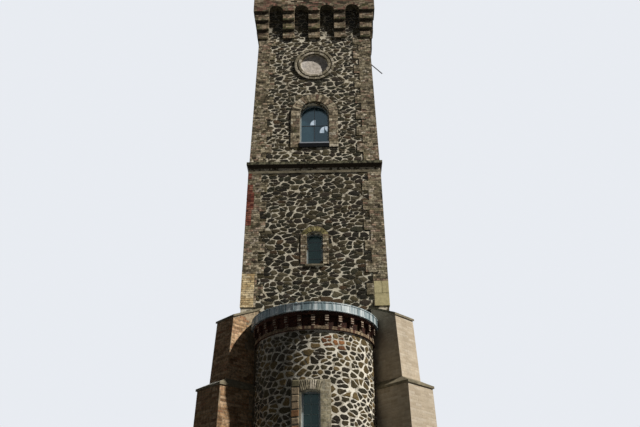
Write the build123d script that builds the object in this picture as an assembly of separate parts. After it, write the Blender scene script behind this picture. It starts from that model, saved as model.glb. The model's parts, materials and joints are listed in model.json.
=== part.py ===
"""Observation tower of dark rubble stone with brick dressings, a round stair bay and diagonal buttresses.

Millimetres, +Z up. The front, with the round bay, faces -Y. The origin is on the ground, in the middle.
"""
import os
from math import cos, radians, sin, tan

from build123d import *

# Square tower: width at the ground, batter of each storey on one side, and the walls' thickness at their feet
base_width = 4706
lower_batter = 68
storey_set_back = 14
upper_batter = 96
lower_wall_thickness = 903
upper_wall_thickness = 671

# Storeys and floors: heights of the storeys, levels of the lower floors, and the platform above the corbels
lower_storey_height = 14700
upper_storey_height = 6050
first_floor_level = 3600
second_floor_level = 9500
platform_rise = 350

# Floors
ground_floor_thickness = 150
floor_thickness = 200
platform_thickness = 300
stairwell_width = 900
stairwell_length = 1800
stairwell_side_margin = 150
stairwell_back_margin = 200

# Moulded string course
cornice_projection = 110
cornice_height = 110
cornice_weathering = 50
bed_mould_projection = 55
bed_mould_height = 110
fillet_projection = 45
fillet_height = 90
fillet_drop = 130

# Toothed brick quoins
quoin_proud = 22
quoin_height = 385
quoin_long = 650
quoin_short = 440

# Corbel table and battlements
corbel_step = 70
corbel_tier_height = 440
corbel_tiers = 3
corbel_width = 460
corbel_gap = 570
gaps_per_side = 4
parapet_height = 1550
merlon_height = 700
crenel_width = 620
crenels_per_side = 3
coping_height = 90
coping_overhang = 40

# Round-headed windows of the upper storey: sill over the string course, and jambs over the sill
upper_window_width = 1070
upper_sill_height = 880
upper_jamb_height = 1350
upper_surround_width = 330
sill_height = 210
sill_overhang = 30

# Small segment-headed windows of the lower storey, over its second floor
middle_window_width = 540
middle_sill_height = 1230
middle_jamb_height = 1090
middle_window_rise = 115
middle_surround_width = 190
thin_sill_height = 60

# Joinery, shared by the windows
surround_proud = 30
window_recess = 200
frame_width = 55
frame_depth = 70
glass_thickness = 12

# Round medallion over the upper window in front, its middle a little below the corbels
medallion_drop = 1410
medallion_radius = 780
medallion_recess_radius = 530
medallion_recess_depth = 110
medallion_ring_proud = 55
medallion_groove = 35
medallion_disc_thickness = 60

# Doorway in the back wall
doorway_width = 1100
doorway_springing = 1900
doorway_surround_width = 300

# Round bay in front, with its window over the first floor
bay_radius = 1740
bay_wall_thickness = 440
bay_wall_height = 7900
bay_segment_deg = 60
bay_arch_width = 1800
bay_arch_springing = 6300
bay_window_width = 510
bay_window_offset = -60
bay_sill_height = 950
bay_jamb_height = 1630
bay_window_rise = 50
bay_surround_width = 280
bay_surround_proud = 25
bay_surround_foot = 140

# Brick frieze, zinc fascia and roof of the bay: a low half cone of flat trays
moulding_height = 100
moulding_projection = 60
frieze_height = 330
frieze_cap_height = 80
dentil_width = 110
dentil_projection = 120
dentil_step = 60
dentil_head_height = 200
dentil_pitch_deg = 12.2
dentils = 13
fascia_height = 240
fascia_thickness = 60
roof_rise = 660
roof_thickness = 70
roof_trays = 12
roof_flashing_height = 110
roof_flashing_proud = 30

# Diagonal buttresses, measured from the tower's corner, that rise a little over the bay's eaves
buttress_rise = 150
buttress_ramp_deg = 25
buttress_shoulder = 6850
buttress_set_off = 250
buttress_top_projection = 540
buttress_shoulder_projection = 655
buttress_upper_width = 820
buttress_step_projection = 960
buttress_foot_projection = 1120
buttress_lower_width = 1100
buttress_foot_width = 1220
buttress_coping_height = 65
buttress_coping_overhang = 35

# Drain spout on the right: its way out over the corbels' top, and the length that shows
spout_radius = 22
spout_rise = 250
spout_length = 780
spout_drop_deg = 50
spout_root_depth = 120

# Running clearance between curved faces that meet
seat_gap = 0.3

# Widths and half widths worked out from those above
lower_top_width = base_width - 2 * lower_batter
upper_base_width = lower_top_width - 2 * storey_set_back
upper_top_width = upper_base_width - 2 * upper_batter
lower_room = base_width / 2 - lower_wall_thickness
upper_room = upper_base_width / 2 - upper_wall_thickness
wall_top = upper_top_width / 2
overhang = (corbel_tiers + 1) * corbel_step
parapet_face = wall_top + overhang
corbel_pitch = corbel_width + corbel_gap
gap_edge = (gaps_per_side * corbel_pitch - corbel_width) / 2
fascia_radius = bay_radius + dentil_projection + fascia_thickness
reach = 2 * base_width

# Levels worked out from those above
string_level = lower_storey_height
corbel_level = string_level + upper_storey_height
corbel_top = corbel_level + corbel_tiers * corbel_tier_height
platform_level = corbel_top + platform_rise
parapet_top = corbel_top + parapet_height
medallion_level = corbel_level - medallion_drop
upper_window_sill_level = string_level + upper_sill_height
upper_window_springing = upper_window_sill_level + upper_jamb_height
middle_window_sill_level = second_floor_level + middle_sill_height
middle_window_springing = middle_window_sill_level + middle_jamb_height
bay_window_sill_level = first_floor_level + bay_sill_height
bay_window_springing = bay_window_sill_level + bay_jamb_height
fascia_bottom = bay_wall_height + moulding_height + frieze_height + frieze_cap_height
roof_eaves = fascia_bottom + fascia_height
buttress_top = roof_eaves + buttress_rise
lower_slope = lower_batter / lower_storey_height
bay_axis = -(base_width / 2 - lower_slope * bay_wall_height)


def block(x, y, z):
    """A box from three (low, high) pairs."""
    size = [high - low for low, high in (x, y, z)]
    middle = [(high + low) / 2 for low, high in (x, y, z)]
    return Pos(*middle) * Box(*size)


def flat_faced(outlines):
    """A solid closed by flat faces, each given by its corner points in turn."""
    return Solid(Shell([Face(Wire.make_polygon(outline, close=True)) for outline in outlines]))


def leaning_block(low, low_x, low_y, high, high_x, high_y):
    """A block with flat sides that lean from one rectangle to another: (low, high) pairs in x and y."""
    rings = []
    for level, (x0, x1), (y0, y1) in ((low, low_x, low_y), (high, high_x, high_y)):
        rings.append([(x0, y0, level), (x1, y0, level), (x1, y1, level), (x0, y1, level)])
    bottom, top = rings
    sides = [[bottom[index - 1], bottom[index], top[index], top[index - 1]] for index in range(4)]
    return flat_faced([bottom[::-1], top] + sides)


def many_sided_cone(radius, base, rise, sides):
    """A cone of flat sides, whose arrises reach the radius at the base."""
    turns = [radians(360 / sides * side) for side in range(sides)]
    rim = [(radius * cos(turn), radius * sin(turn), base) for turn in turns]
    apex = (0, 0, base + rise)
    return flat_faced([rim[::-1]] + [[rim[side - 1], rim[side], apex] for side in range(sides)])


def square_block(bottom_width, top_width, low, high):
    """A square block whose sides lean in from one width to the other."""
    bottom = (-bottom_width / 2, bottom_width / 2)
    top = (-top_width / 2, top_width / 2)
    return leaning_block(low, bottom, bottom, high, top, top)


def quarter_turns(shape):
    """The shape once for each side of the tower: front, right, back and left."""
    return [Rot(0, 0, 90 * side) * shape for side in range(4)]


def corners(shape):
    """The shape of the front right corner, mirrored to all four."""
    front = [shape, mirror(shape, about=Plane.YZ)]
    return front + [mirror(one, about=Plane.XZ) for one in front]


def upright(outline, front, back):
    """Extrudes an outline drawn as seen from the front, from the depth y=front to y=back."""
    face = Plane(origin=(0, back, 0), x_dir=(1, 0, 0), z_dir=(0, -1, 0))
    return extrude(face * outline, back - front)


def headed(width, bottom, springing, rise):
    """The outline of an opening with a round head, or a flatter one where the rise is small."""
    half = width / 2
    jambs = Polyline((-half, springing), (-half, bottom), (half, bottom), (half, springing))
    head = ThreePointArc((half, springing), (0, springing + rise), (-half, springing))
    return make_face(jambs + head)


def opening_sizes(width, bottom, springing, rise, grow):
    """The same opening grown on the jambs and head by one amount, and on the bottom when it shrinks."""
    return width + 2 * grow, bottom - min(grow, 0), springing, rise + grow


def frame_of(sizes, front):
    """A window frame that lines its opening."""
    outer = upright(headed(*sizes), front, front + frame_depth)
    inner = upright(headed(*opening_sizes(*sizes, -frame_width)), front, front + frame_depth)
    return outer - inner


def pane_of(sizes, front):
    """The sheet of glass in the middle of the frame's depth."""
    face = front + (frame_depth - glass_thickness) / 2
    return upright(headed(*opening_sizes(*sizes, -frame_width)), face, face + glass_thickness)


def surround_of(sizes, band, front, back, drop=0):
    """A brick band round an opening's jambs and head, cut straight at the foot."""
    width, bottom, springing, rise = opening_sizes(*sizes, band)
    outer = upright(headed(width, bottom - drop, springing, rise), front, back)
    return outer - upright(headed(sizes[0], sizes[1] - drop, sizes[2], sizes[3]), front, back)


# The battered blocks that the walls are cut from
lower_block = square_block(base_width, lower_top_width, 0, string_level)
upper_block = square_block(upper_base_width, upper_top_width, string_level, corbel_level)
top_block = square_block(upper_top_width, upper_top_width, corbel_level, platform_level)
tower_block = lower_block + upper_block + top_block

upper_window = (upper_window_width, upper_window_sill_level, upper_window_springing, upper_window_width / 2)
middle_window = (middle_window_width, middle_window_sill_level, middle_window_springing, middle_window_rise)
doorway = (doorway_width, 0, doorway_springing, doorway_width / 2)
bay_arch = (bay_arch_width, 0, bay_arch_springing, bay_arch_width / 2)
bay_window = (bay_window_width, bay_window_sill_level, bay_window_springing, bay_window_rise)


def lower_half(level):
    """Half the outer width of the lower storey at a level."""
    return base_width / 2 - lower_slope * level


def upper_half(level):
    """Half the outer width of the upper storey at a level."""
    return upper_base_width / 2 - upper_batter / upper_storey_height * (level - string_level)


def lower_shell():
    """The lower storey's walls in one ring, with their windows, the doorway and the arch into the bay."""
    shell = lower_block - block((-lower_room, lower_room), (-lower_room, lower_room), (0, string_level))
    for window in quarter_turns(upright(headed(*middle_window), -reach, -lower_room + 1)):
        shell -= window
    shell -= upright(headed(*doorway), lower_room - 1, reach)
    shell -= upright(headed(*bay_arch), -reach, -lower_room + 1)
    return shell


def upper_shell():
    """The upper storey's walls in one ring, with their windows and the medallion's recess."""
    rooms = block((-upper_room, upper_room), (-upper_room, upper_room), (string_level, platform_level))
    shell = upper_block + top_block - rooms
    recess_back = -upper_half(medallion_level) + medallion_recess_depth
    recess = upright(Pos(0, medallion_level) * Circle(medallion_recess_radius), -reach, recess_back)
    for window in quarter_turns(upright(headed(*upper_window), -reach, -upper_room + 1)):
        shell -= window
    return shell - recess


def walls():
    """The four walls of each storey, with the wall over each ground-level arch apart from its piers."""
    lower = lower_shell()
    upper = upper_shell()
    front = (-reach, -lower_room)
    back = (lower_room, reach)
    wide = (-reach, reach)
    room = (-lower_room, lower_room)
    upper_front = (-reach, -upper_room)
    upper_back = (upper_room, reach)
    upper_room_span = (-upper_room, upper_room)
    piers_front = lower & block(wide, front, (0, bay_arch_springing))
    piers_back = lower & block(wide, back, (0, doorway_springing))
    return {
        "front_wall_piers": piers_front.solids(),
        "front_wall_lower": [lower & block(wide, front, (bay_arch_springing, string_level))],
        "back_wall_piers": piers_back.solids(),
        "back_wall_lower": [lower & block(wide, back, (doorway_springing, string_level))],
        "left_wall_lower": [lower & block((-reach, -lower_room), room, (0, string_level))],
        "right_wall_lower": [lower & block((lower_room, reach), room, (0, string_level))],
        "front_wall_upper": [upper & block(wide, upper_front, (string_level, platform_level))],
        "back_wall_upper": [upper & block(wide, upper_back, (string_level, platform_level))],
        "left_wall_upper": [upper & block(upper_front, upper_room_span, (string_level, platform_level))],
        "right_wall_upper": [upper & block(upper_back, upper_room_span, (string_level, platform_level))],
    }


def bay_floor(low, high):
    """A floor that fills the lower room and runs through the arch into the round bay."""
    room = block((-lower_room, lower_room), (-lower_room, lower_room), (low, high))
    arch = block((-bay_arch_width / 2, bay_arch_width / 2), (-base_width / 2, -lower_room), (low, high))
    inner_radius = bay_radius - bay_wall_thickness - seat_gap
    disc = Pos(0, bay_axis, low) * extrude(Circle(inner_radius), high - low)
    return room + arch + (disc - tower_block)


def stairwell():
    """The clear well that the stair takes through the floors."""
    right = lower_room - stairwell_side_margin
    back = lower_room - stairwell_back_margin
    z = (first_floor_level, platform_level + 2 * platform_thickness)
    return block((right - stairwell_width, right), (back - stairwell_length, back), z)


def floors():
    """Every floor, from the ground slab to the lookout platform."""
    second_top = second_floor_level + floor_thickness
    third_top = string_level + floor_thickness
    platform_top = platform_level + platform_thickness
    lower_span = (-lower_room, lower_room)
    upper_span = (-upper_room, upper_room)
    platform_span = (-wall_top, wall_top)
    well = stairwell()
    doorstep_x = (-doorway_width / 2, doorway_width / 2)
    doorstep = block(doorstep_x, (lower_room, lower_half(0)), (0, ground_floor_thickness))
    return {
        "ground_floor": [bay_floor(0, ground_floor_thickness) + (doorstep & lower_block)],
        "first_floor": [bay_floor(first_floor_level, first_floor_level + floor_thickness) - well],
        "second_floor": [block(lower_span, lower_span, (second_floor_level, second_top)) - well],
        "third_floor": [block(upper_span, upper_span, (string_level, third_top)) - well],
        "platform": [block(platform_span, platform_span, (platform_level, platform_top)) - well],
    }


def string_course():
    """The moulded course between the storeys: weathered cornice, bed mould, and a fillet a little below."""
    cornice_width = upper_base_width + 2 * cornice_projection
    bed_width = upper_base_width + 2 * bed_mould_projection
    fillet_width = upper_base_width + 2 * fillet_projection
    cornice = square_block(cornice_width, cornice_width, string_level - cornice_height, string_level)
    weathering_top = string_level + cornice_weathering
    weathering = square_block(cornice_width, upper_base_width, string_level, weathering_top)
    bed_bottom = string_level - cornice_height - bed_mould_height
    bed = square_block(bed_width, cornice_width, bed_bottom, string_level - cornice_height)
    fillet_top = bed_bottom - fillet_drop
    fillet = square_block(fillet_width, fillet_width, fillet_top - fillet_height, fillet_top)
    moulding = cornice + weathering + bed - tower_block
    return {"string_course": moulding.solids() + (fillet - tower_block).solids()}


def quoin_stack(low, high, half_bottom, half_top):
    """The toothed quoins of the front right corner, as a stack of blocks with long and short legs in turn."""
    count = round((high - low) / quoin_height)
    step = (high - low) / count
    edge = max(half_bottom, half_top) + 2 * quoin_proud
    corner = min(half_bottom, half_top)
    stack = []
    for course in range(count):
        legs = (quoin_long, quoin_short) if course % 2 else (quoin_short, quoin_long)
        z = (low + course * step, low + (course + 1) * step)
        stack.append(block((corner - legs[0], edge), (-edge, -(corner - legs[1])), z))
    proud = 2 * quoin_proud
    skin = square_block(2 * half_bottom + proud, 2 * half_top + proud, low, high)
    return (stack[0].fuse(*stack[1:]) & skin) - tower_block


def quoins():
    """The quoins of both storeys, from the buttresses' ramps up to the corbels."""
    ramp_reach = buttress_top_projection + buttress_upper_width / 2 + buttress_coping_overhang
    lower_low = buttress_top + (ramp_reach + quoin_proud) * tan(radians(buttress_ramp_deg))
    lower_high = string_level - cornice_height - bed_mould_height - fillet_drop - fillet_height
    upper_low = string_level + cornice_weathering
    lower = quoin_stack(lower_low, lower_high, lower_half(lower_low), lower_half(lower_high))
    upper = quoin_stack(upper_low, corbel_level, upper_half(upper_low), wall_top)
    return {"quoins": corners(lower) + corners(upper)}


def buttress_stage(low, high, low_size, high_size):
    """A buttress stage along +X from inside the corner: each size is its (projection, width)."""
    low_projection, low_width = low_size
    high_projection, high_width = high_size
    low_x = (-lower_room, low_projection)
    high_x = (-lower_room, high_projection)
    low_y = (-low_width / 2, low_width / 2)
    high_y = (-high_width / 2, high_width / 2)
    return leaning_block(low, low_x, low_y, high, high_x, high_y)


def ramp_over(thickness, width, overhang):
    """A slab along the buttress's ramp, as thick upright as given, that overhangs the buttress's end."""
    slope = tan(radians(buttress_ramp_deg))
    run = buttress_top_projection + lower_room
    end = (buttress_top_projection + overhang, buttress_top - overhang * slope)
    root = (-lower_room, buttress_top + run * slope)
    outline = Polyline(end, root, (root[0], root[1] - thickness), (end[0], end[1] - thickness), close=True)
    return upright(make_face(outline), -width / 2, width / 2)


def buttress_mass():
    """The diagonal buttress of the front right corner before the tower is cut away from it."""
    step_level = buttress_shoulder - buttress_set_off
    foot = (buttress_foot_projection, buttress_foot_width)
    step = (buttress_step_projection, buttress_lower_width)
    shoulder = (buttress_shoulder_projection, buttress_upper_width)
    lower = buttress_stage(0, step_level, foot, step)
    core = buttress_stage(step_level, buttress_shoulder, shoulder, shoulder)
    lean = (buttress_shoulder_projection - buttress_top_projection) / (buttress_top - buttress_shoulder)
    rise = (buttress_top_projection + lower_room) * tan(radians(buttress_ramp_deg))
    peak = (buttress_top_projection - lean * rise, buttress_upper_width)
    upper = buttress_stage(buttress_shoulder, buttress_top + rise, shoulder, peak)
    sky = Pos(0, 0, reach - buttress_coping_height) * ramp_over(reach, 2 * buttress_upper_width, reach)
    return lower + core + (upper - sky)


def buttress_coping():
    """The slab on the ramp, and the weathered course round the set-off. Both overhang the faces below."""
    width = buttress_upper_width + 2 * buttress_coping_overhang
    slab = ramp_over(buttress_coping_height, width, buttress_coping_overhang)
    step_level = buttress_shoulder - buttress_set_off
    lip_top = step_level + buttress_coping_height
    step_width = buttress_lower_width + 2 * buttress_coping_overhang
    lip = (buttress_step_projection + buttress_coping_overhang, step_width)
    shoulder = (buttress_shoulder_projection, buttress_upper_width)
    course = buttress_stage(step_level, lip_top, lip, lip)
    course += buttress_stage(lip_top, buttress_shoulder, lip, shoulder)
    return slab + course - buttress_mass()


def buttresses():
    """The buttress of each corner, on the diagonal and cut off at the tower and the bay, and the copings."""
    corner = lower_half(buttress_top)
    place = Pos(corner, -corner, 0) * Rot(0, 0, -45)
    right = place * buttress_mass() - tower_block
    coping = place * buttress_coping() - tower_block
    bay = Pos(0, bay_axis, 0) * extrude(Circle(bay_radius + seat_gap), bay_wall_height)
    names = ("front_right", "front_left", "back_right", "back_left")
    solids = corners(right - bay)[:2] + corners(right)[2:]
    nodes = {f"buttress_{name}": [solid] for name, solid in zip(names, solids)}
    nodes["buttress_copings"] = corners(coping - bay)[:2] + corners(coping)[2:]
    return nodes


def bay_ring(inner, outer, low, high):
    """A half ring of the bay in front of the tower's wall."""
    ring = extrude(Circle(outer) - Circle(inner), high - low)
    return (Pos(0, 0, low) * ring) & block((-reach, reach), (-reach, 0), (low, high))


def place_bay(shape):
    """Moves a shape drawn round the bay's axis to its place, and cuts it off at the tower."""
    return Pos(0, bay_axis, 0) * shape - tower_block


def bay_walls():
    """The round wall in three segments, with the window in the middle one."""
    ring = bay_ring(bay_radius - bay_wall_thickness, bay_radius, 0, bay_wall_height)
    wedge_edge = reach * tan(radians(bay_segment_deg / 2))
    wedge = make_face(Polyline((0, 0), (-wedge_edge, -reach), (wedge_edge, -reach), close=True))
    middle = extrude(wedge, bay_wall_height)
    front = ring & middle
    sides = (ring - middle).solids().sort_by(Axis.X)
    window = Pos(bay_window_offset, 0, 0) * upright(headed(*bay_window), -2 * bay_radius, 0)
    return {
        "bay_wall_left": [place_bay(sides[0])],
        "bay_wall_front": [place_bay(front - window)],
        "bay_wall_right": [place_bay(sides[-1])],
    }


def bay_frieze(buttress):
    """Brick moulding, recessed frieze with stepped dentils, and the band that carries the fascia."""
    inner = bay_radius - bay_wall_thickness
    frieze_low = bay_wall_height + moulding_height
    cap_low = frieze_low + frieze_height
    frieze = bay_ring(inner, bay_radius + moulding_projection, bay_wall_height, frieze_low)
    frieze += bay_ring(inner, bay_radius, frieze_low, cap_low)
    frieze += bay_ring(inner, bay_radius + dentil_projection, cap_low, fascia_bottom)
    dentil_x = (-dentil_width / 2, dentil_width / 2)
    root = -(bay_radius - dentil_projection)
    shaft = block(dentil_x, (-(bay_radius + dentil_step), root), (frieze_low, cap_low))
    head = block(dentil_x, (-(bay_radius + dentil_projection), root), (cap_low - dentil_head_height, cap_low))
    for index in range(dentils):
        turn = (index - (dentils - 1) / 2) * dentil_pitch_deg
        frieze += Rot(0, 0, turn) * (shaft + head)
    return {"bay_frieze": [place_bay(frieze) - buttress]}


def bay_roof(buttress):
    """Zinc fascia, the wall head behind it, the roof on both, and the mortar flashing above the roof."""
    half = fascia_radius - fascia_thickness
    fascia = bay_ring(half, fascia_radius, fascia_bottom, roof_eaves)
    bearing = bay_ring(bay_radius - bay_wall_thickness, half - seat_gap, fascia_bottom, roof_eaves)
    outside = many_sided_cone(fascia_radius, roof_eaves, roof_rise, 2 * roof_trays)
    inside = many_sided_cone(fascia_radius, roof_eaves - roof_thickness, roof_rise, 2 * roof_trays)
    front_half = block((-reach, reach), (-reach, 0), (fascia_bottom, parapet_top))
    roof = place_bay((outside - inside) & front_half)
    low = roof_eaves + roof_rise * fascia_thickness / fascia_radius
    crown = roof_eaves + roof_rise
    strip = make_face(
        Polyline(
            (-half, low),
            (0, crown),
            (half, low),
            (half, low + roof_flashing_height / 2),
            (0, crown + roof_flashing_height),
            (-half, low + roof_flashing_height / 2),
            close=True,
        )
    )
    face = -lower_half(roof_eaves)
    flashing = upright(strip, face - roof_flashing_proud, face + roof_flashing_proud) - tower_block
    return {
        "bay_fascia": [place_bay(fascia) - buttress],
        "bay_wall_head": [place_bay(bearing) - buttress],
        "bay_roof": [roof - buttress],
        "bay_roof_flashing": [flashing - roof - buttress],
    }


def window_pieces():
    """Surrounds, frames, glass and sills of the windows on the four sides."""
    upper_face = -upper_half(upper_window_springing)
    middle_face = -lower_half(middle_window_springing)
    upper_back = -upper_half(upper_window_sill_level)
    middle_back = -lower_half(middle_window_sill_level)
    upper_depth = (upper_face - surround_proud - quoin_proud, upper_face + surround_proud)
    middle_depth = (middle_face - surround_proud, middle_face + surround_proud)
    upper_surround = surround_of(upper_window, upper_surround_width, *upper_depth, sill_height) - tower_block
    middle_surround = surround_of(middle_window, middle_surround_width, *middle_depth) - tower_block
    sill_face = upper_back - surround_proud - sill_overhang
    half = upper_window_width / 2
    low = upper_window_sill_level - sill_height
    sill = block((-half, half), (sill_face, upper_back), (low, upper_window_sill_level)) - tower_block
    thin_half = middle_window_width / 2 + sill_overhang
    thin_y = (middle_back - surround_proud - sill_overhang, middle_back)
    thin_z = (middle_window_sill_level - thin_sill_height, middle_window_sill_level)
    thin_sill = block((-thin_half, thin_half), thin_y, thin_z) - tower_block
    upper_front = upper_face + window_recess
    middle_front = middle_face + window_recess
    return {
        "upper_window_surrounds": quarter_turns(upper_surround),
        "upper_window_sills": quarter_turns(sill),
        "upper_window_frames": quarter_turns(frame_of(upper_window, upper_front)),
        "upper_window_glass": quarter_turns(pane_of(upper_window, upper_front)),
        "middle_window_surrounds": quarter_turns(middle_surround),
        "middle_window_sills": quarter_turns(thin_sill),
        "middle_window_frames": quarter_turns(frame_of(middle_window, middle_front)),
        "middle_window_glass": quarter_turns(pane_of(middle_window, middle_front)),
    }


def bay_window_pieces():
    """Square-topped stone surround, frame and glass of the bay's tall window."""
    place = Pos(bay_window_offset, bay_axis, 0)
    shell = bay_ring(bay_radius, bay_radius + bay_surround_proud, 0, bay_wall_height)
    half = bay_window_width / 2 + bay_surround_width
    foot = bay_window_sill_level - bay_surround_foot
    top = bay_window_springing + bay_window_rise + bay_surround_width
    outer = Pos(bay_window_offset, 0, 0) * block((-half, half), (-2 * bay_radius, 0), (foot, top))
    hole = Pos(bay_window_offset, 0, 0) * upright(headed(*bay_window), -2 * bay_radius, 0)
    frame_front = -(bay_radius - window_recess)
    return {
        "bay_window_surround": [Pos(0, bay_axis, 0) * ((shell & outer) - hole)],
        "bay_window_frame": [place * frame_of(bay_window, frame_front)],
        "bay_window_glass": [place * pane_of(bay_window, frame_front)],
    }


def doorway_surround():
    """The brick band round the doorway in the back wall."""
    crown = doorway_springing + doorway_width / 2 + doorway_surround_width
    band = surround_of(doorway, doorway_surround_width, -lower_half(0) - surround_proud, -lower_half(crown))
    return {"doorway_surround": [Rot(0, 0, 180) * (band - tower_block)]}


def medallion():
    """Two concentric rings with a groove between them, and the plain disc at the back of the recess."""
    face = -upper_half(medallion_level)
    back = -upper_half(medallion_level + medallion_radius)
    middle_radius = (medallion_radius + medallion_recess_radius) / 2
    ring = Circle(medallion_radius) - Circle(medallion_recess_radius)
    groove = Circle(middle_radius + medallion_groove / 2) - Circle(middle_radius - medallion_groove / 2)
    front = face - medallion_ring_proud
    band = upright(Pos(0, medallion_level) * ring, front, back)
    band -= upright(Pos(0, medallion_level) * groove, front, front + medallion_groove)
    disc_back = face + medallion_recess_depth
    disc = upright(Pos(0, medallion_level) * Circle(medallion_recess_radius - seat_gap),
                   disc_back - medallion_disc_thickness, disc_back)
    return {
        "medallion_rings": [band - tower_block],
        "medallion_discs": [disc],
    }


def corbels():
    """Brick corbels that step out tier by tier under the parapet, with L-shaped ones round the corners."""
    middle = []
    for index in range(1, gaps_per_side):
        x = (index - gaps_per_side / 2) * corbel_pitch
        tiers = []
        for tier in range(corbel_tiers):
            z = (corbel_level + tier * corbel_tier_height, corbel_level + (tier + 1) * corbel_tier_height)
            face = -(wall_top + (tier + 1) * corbel_step)
            tiers.append(block((x - corbel_width / 2, x + corbel_width / 2), (face, -wall_top), z))
        middle.append(tiers[0].fuse(*tiers[1:]))
    corner = []
    for tier in range(corbel_tiers):
        z = (corbel_level + tier * corbel_tier_height, corbel_level + (tier + 1) * corbel_tier_height)
        face = wall_top + (tier + 1) * corbel_step
        corner.append(block((gap_edge, face), (-face, -gap_edge), z))
    corner_corbel = corner[0].fuse(*corner[1:]) - top_block
    return {
        "corbels": [turned for one in middle for turned in quarter_turns(one)],
        "corner_corbels": quarter_turns(corner_corbel),
    }


def parapet_side(half):
    """The front parapet over a given half width, with the round heads of the corbel gaps in its foot."""
    side = block((-half, half), (-parapet_face, -wall_top), (corbel_top, parapet_top))
    for index in range(gaps_per_side):
        x = (index - (gaps_per_side - 1) / 2) * corbel_pitch
        arch = upright(Pos(x, corbel_top) * Circle(corbel_gap / 2), -parapet_face - 1, -wall_top)
        side -= arch
    return side


def merlon_spans():
    """The (low, high) stretches of the merlons along a side, between evenly spaced crenels."""
    pitch = 2 * parapet_face / (crenels_per_side + 1)
    centres = [-parapet_face + pitch * (index + 1) for index in range(crenels_per_side)]
    edges = [-parapet_face]
    for centre in centres:
        edges += [centre - crenel_width / 2, centre + crenel_width / 2]
    edges.append(parapet_face)
    return [(edges[index], edges[index + 1]) for index in range(0, len(edges), 2)]


def overhanging(span):
    """A merlon's (low, high) stretch grown to that of its coping."""
    low, high = span
    return low - coping_overhang, high + coping_overhang


def battlements():
    """Parapets, merlons and the stone copings that cap them; a corner merlon turns the corner."""
    depth = (-parapet_face, -wall_top)
    merlon_z = (parapet_top, parapet_top + merlon_height)
    cap_depth = (-parapet_face - coping_overhang, -wall_top + coping_overhang)
    cap_z = (merlon_z[1], merlon_z[1] + coping_height)
    first, *between, last = merlon_spans()
    merlons = [block(span, depth, merlon_z) for span in between]
    caps = [block(overhanging(span), cap_depth, cap_z) for span in between]
    turn = Rot(0, 0, 90)
    merlons.append(block(last, depth, merlon_z) + turn * block(first, depth, merlon_z))
    corner_cap = block(overhanging(last), cap_depth, cap_z)
    caps.append(corner_cap + turn * block(overhanging(first), cap_depth, cap_z))
    side_turns = quarter_turns(parapet_side(wall_top))
    front_turns = quarter_turns(parapet_side(parapet_face))
    return {
        "front_parapet": [front_turns[0]],
        "right_parapet": [side_turns[1]],
        "back_parapet": [front_turns[2]],
        "left_parapet": [side_turns[3]],
        "merlons": [turned for one in merlons for turned in quarter_turns(one)],
        "merlon_copings": [turned for one in caps for turned in quarter_turns(one)],
    }


def drain_spout():
    """The thin drain that leans down and out of the right parapet, over a corbel."""
    height = spout_root_depth + spout_length
    rod = Cylinder(spout_radius, height, align=(Align.CENTER, Align.CENTER, Align.MIN))
    place = Pos(parapet_face, corbel_pitch, corbel_top + spout_rise) * Rot(0, 90 + spout_drop_deg, 0)
    inside = block((0, parapet_face), (-reach, reach), (corbel_level, parapet_top))
    return {"drain_spout": [place * Pos(0, 0, -spout_root_depth) * rod - inside]}


def build():
    """Every node's name with its solids."""
    nodes = {}
    buttress_nodes = buttresses()
    both = buttress_nodes["buttress_front_right"][0] + buttress_nodes["buttress_front_left"][0]
    for coping in buttress_nodes["buttress_copings"][:2]:
        both += coping
    nodes.update(walls())
    nodes.update(floors())
    nodes.update(string_course())
    nodes.update(quoins())
    nodes.update(buttress_nodes)
    nodes.update(bay_walls())
    nodes.update(bay_frieze(both))
    nodes.update(bay_roof(both))
    nodes.update(window_pieces())
    nodes.update(bay_window_pieces())
    nodes.update(doorway_surround())
    nodes.update(medallion())
    nodes.update(corbels())
    nodes.update(battlements())
    nodes.update(drain_spout())
    return nodes


def write(nodes):
    """Writes each node to its own file."""
    os.makedirs("parts", exist_ok=True)
    for name, shapes in nodes.items():
        solids = [solid for shape in shapes for solid in shape.solids()]
        body = solids[0] if len(solids) == 1 else Compound(children=solids)
        export_step(body, f"parts/{name}.step")


write(build())
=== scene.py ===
"""The looks of an observation tower: rubble stones, bricks, zinc, render, glass and their weathering.

Metres, +Z up. The front, with the round bay, faces -Y. First come the named values, then the faces and the blocks
laid on them, the finishes, the tower's pieces, and last the camera and the light.
"""

import json
from math import atan2, cos, pi, radians, sin, tan

import bpy
import numpy as np
from mathutils import Matrix, Vector


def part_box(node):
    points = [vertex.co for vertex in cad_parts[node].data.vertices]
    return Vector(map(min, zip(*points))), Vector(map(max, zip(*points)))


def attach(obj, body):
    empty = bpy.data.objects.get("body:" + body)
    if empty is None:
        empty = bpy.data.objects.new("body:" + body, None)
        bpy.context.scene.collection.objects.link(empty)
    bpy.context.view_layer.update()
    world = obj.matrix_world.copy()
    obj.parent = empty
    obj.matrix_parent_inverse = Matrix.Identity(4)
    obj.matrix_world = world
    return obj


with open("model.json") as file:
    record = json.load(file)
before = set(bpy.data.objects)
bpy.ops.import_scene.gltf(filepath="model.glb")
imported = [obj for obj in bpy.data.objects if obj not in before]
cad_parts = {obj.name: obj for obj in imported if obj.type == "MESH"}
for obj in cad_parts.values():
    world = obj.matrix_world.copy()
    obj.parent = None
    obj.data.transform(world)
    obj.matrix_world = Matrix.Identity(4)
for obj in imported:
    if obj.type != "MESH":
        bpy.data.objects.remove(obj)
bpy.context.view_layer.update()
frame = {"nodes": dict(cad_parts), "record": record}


def levels(node):
    """The lowest and the highest level of a CAD node."""
    low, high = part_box(node)
    return low.z, high.z


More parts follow.
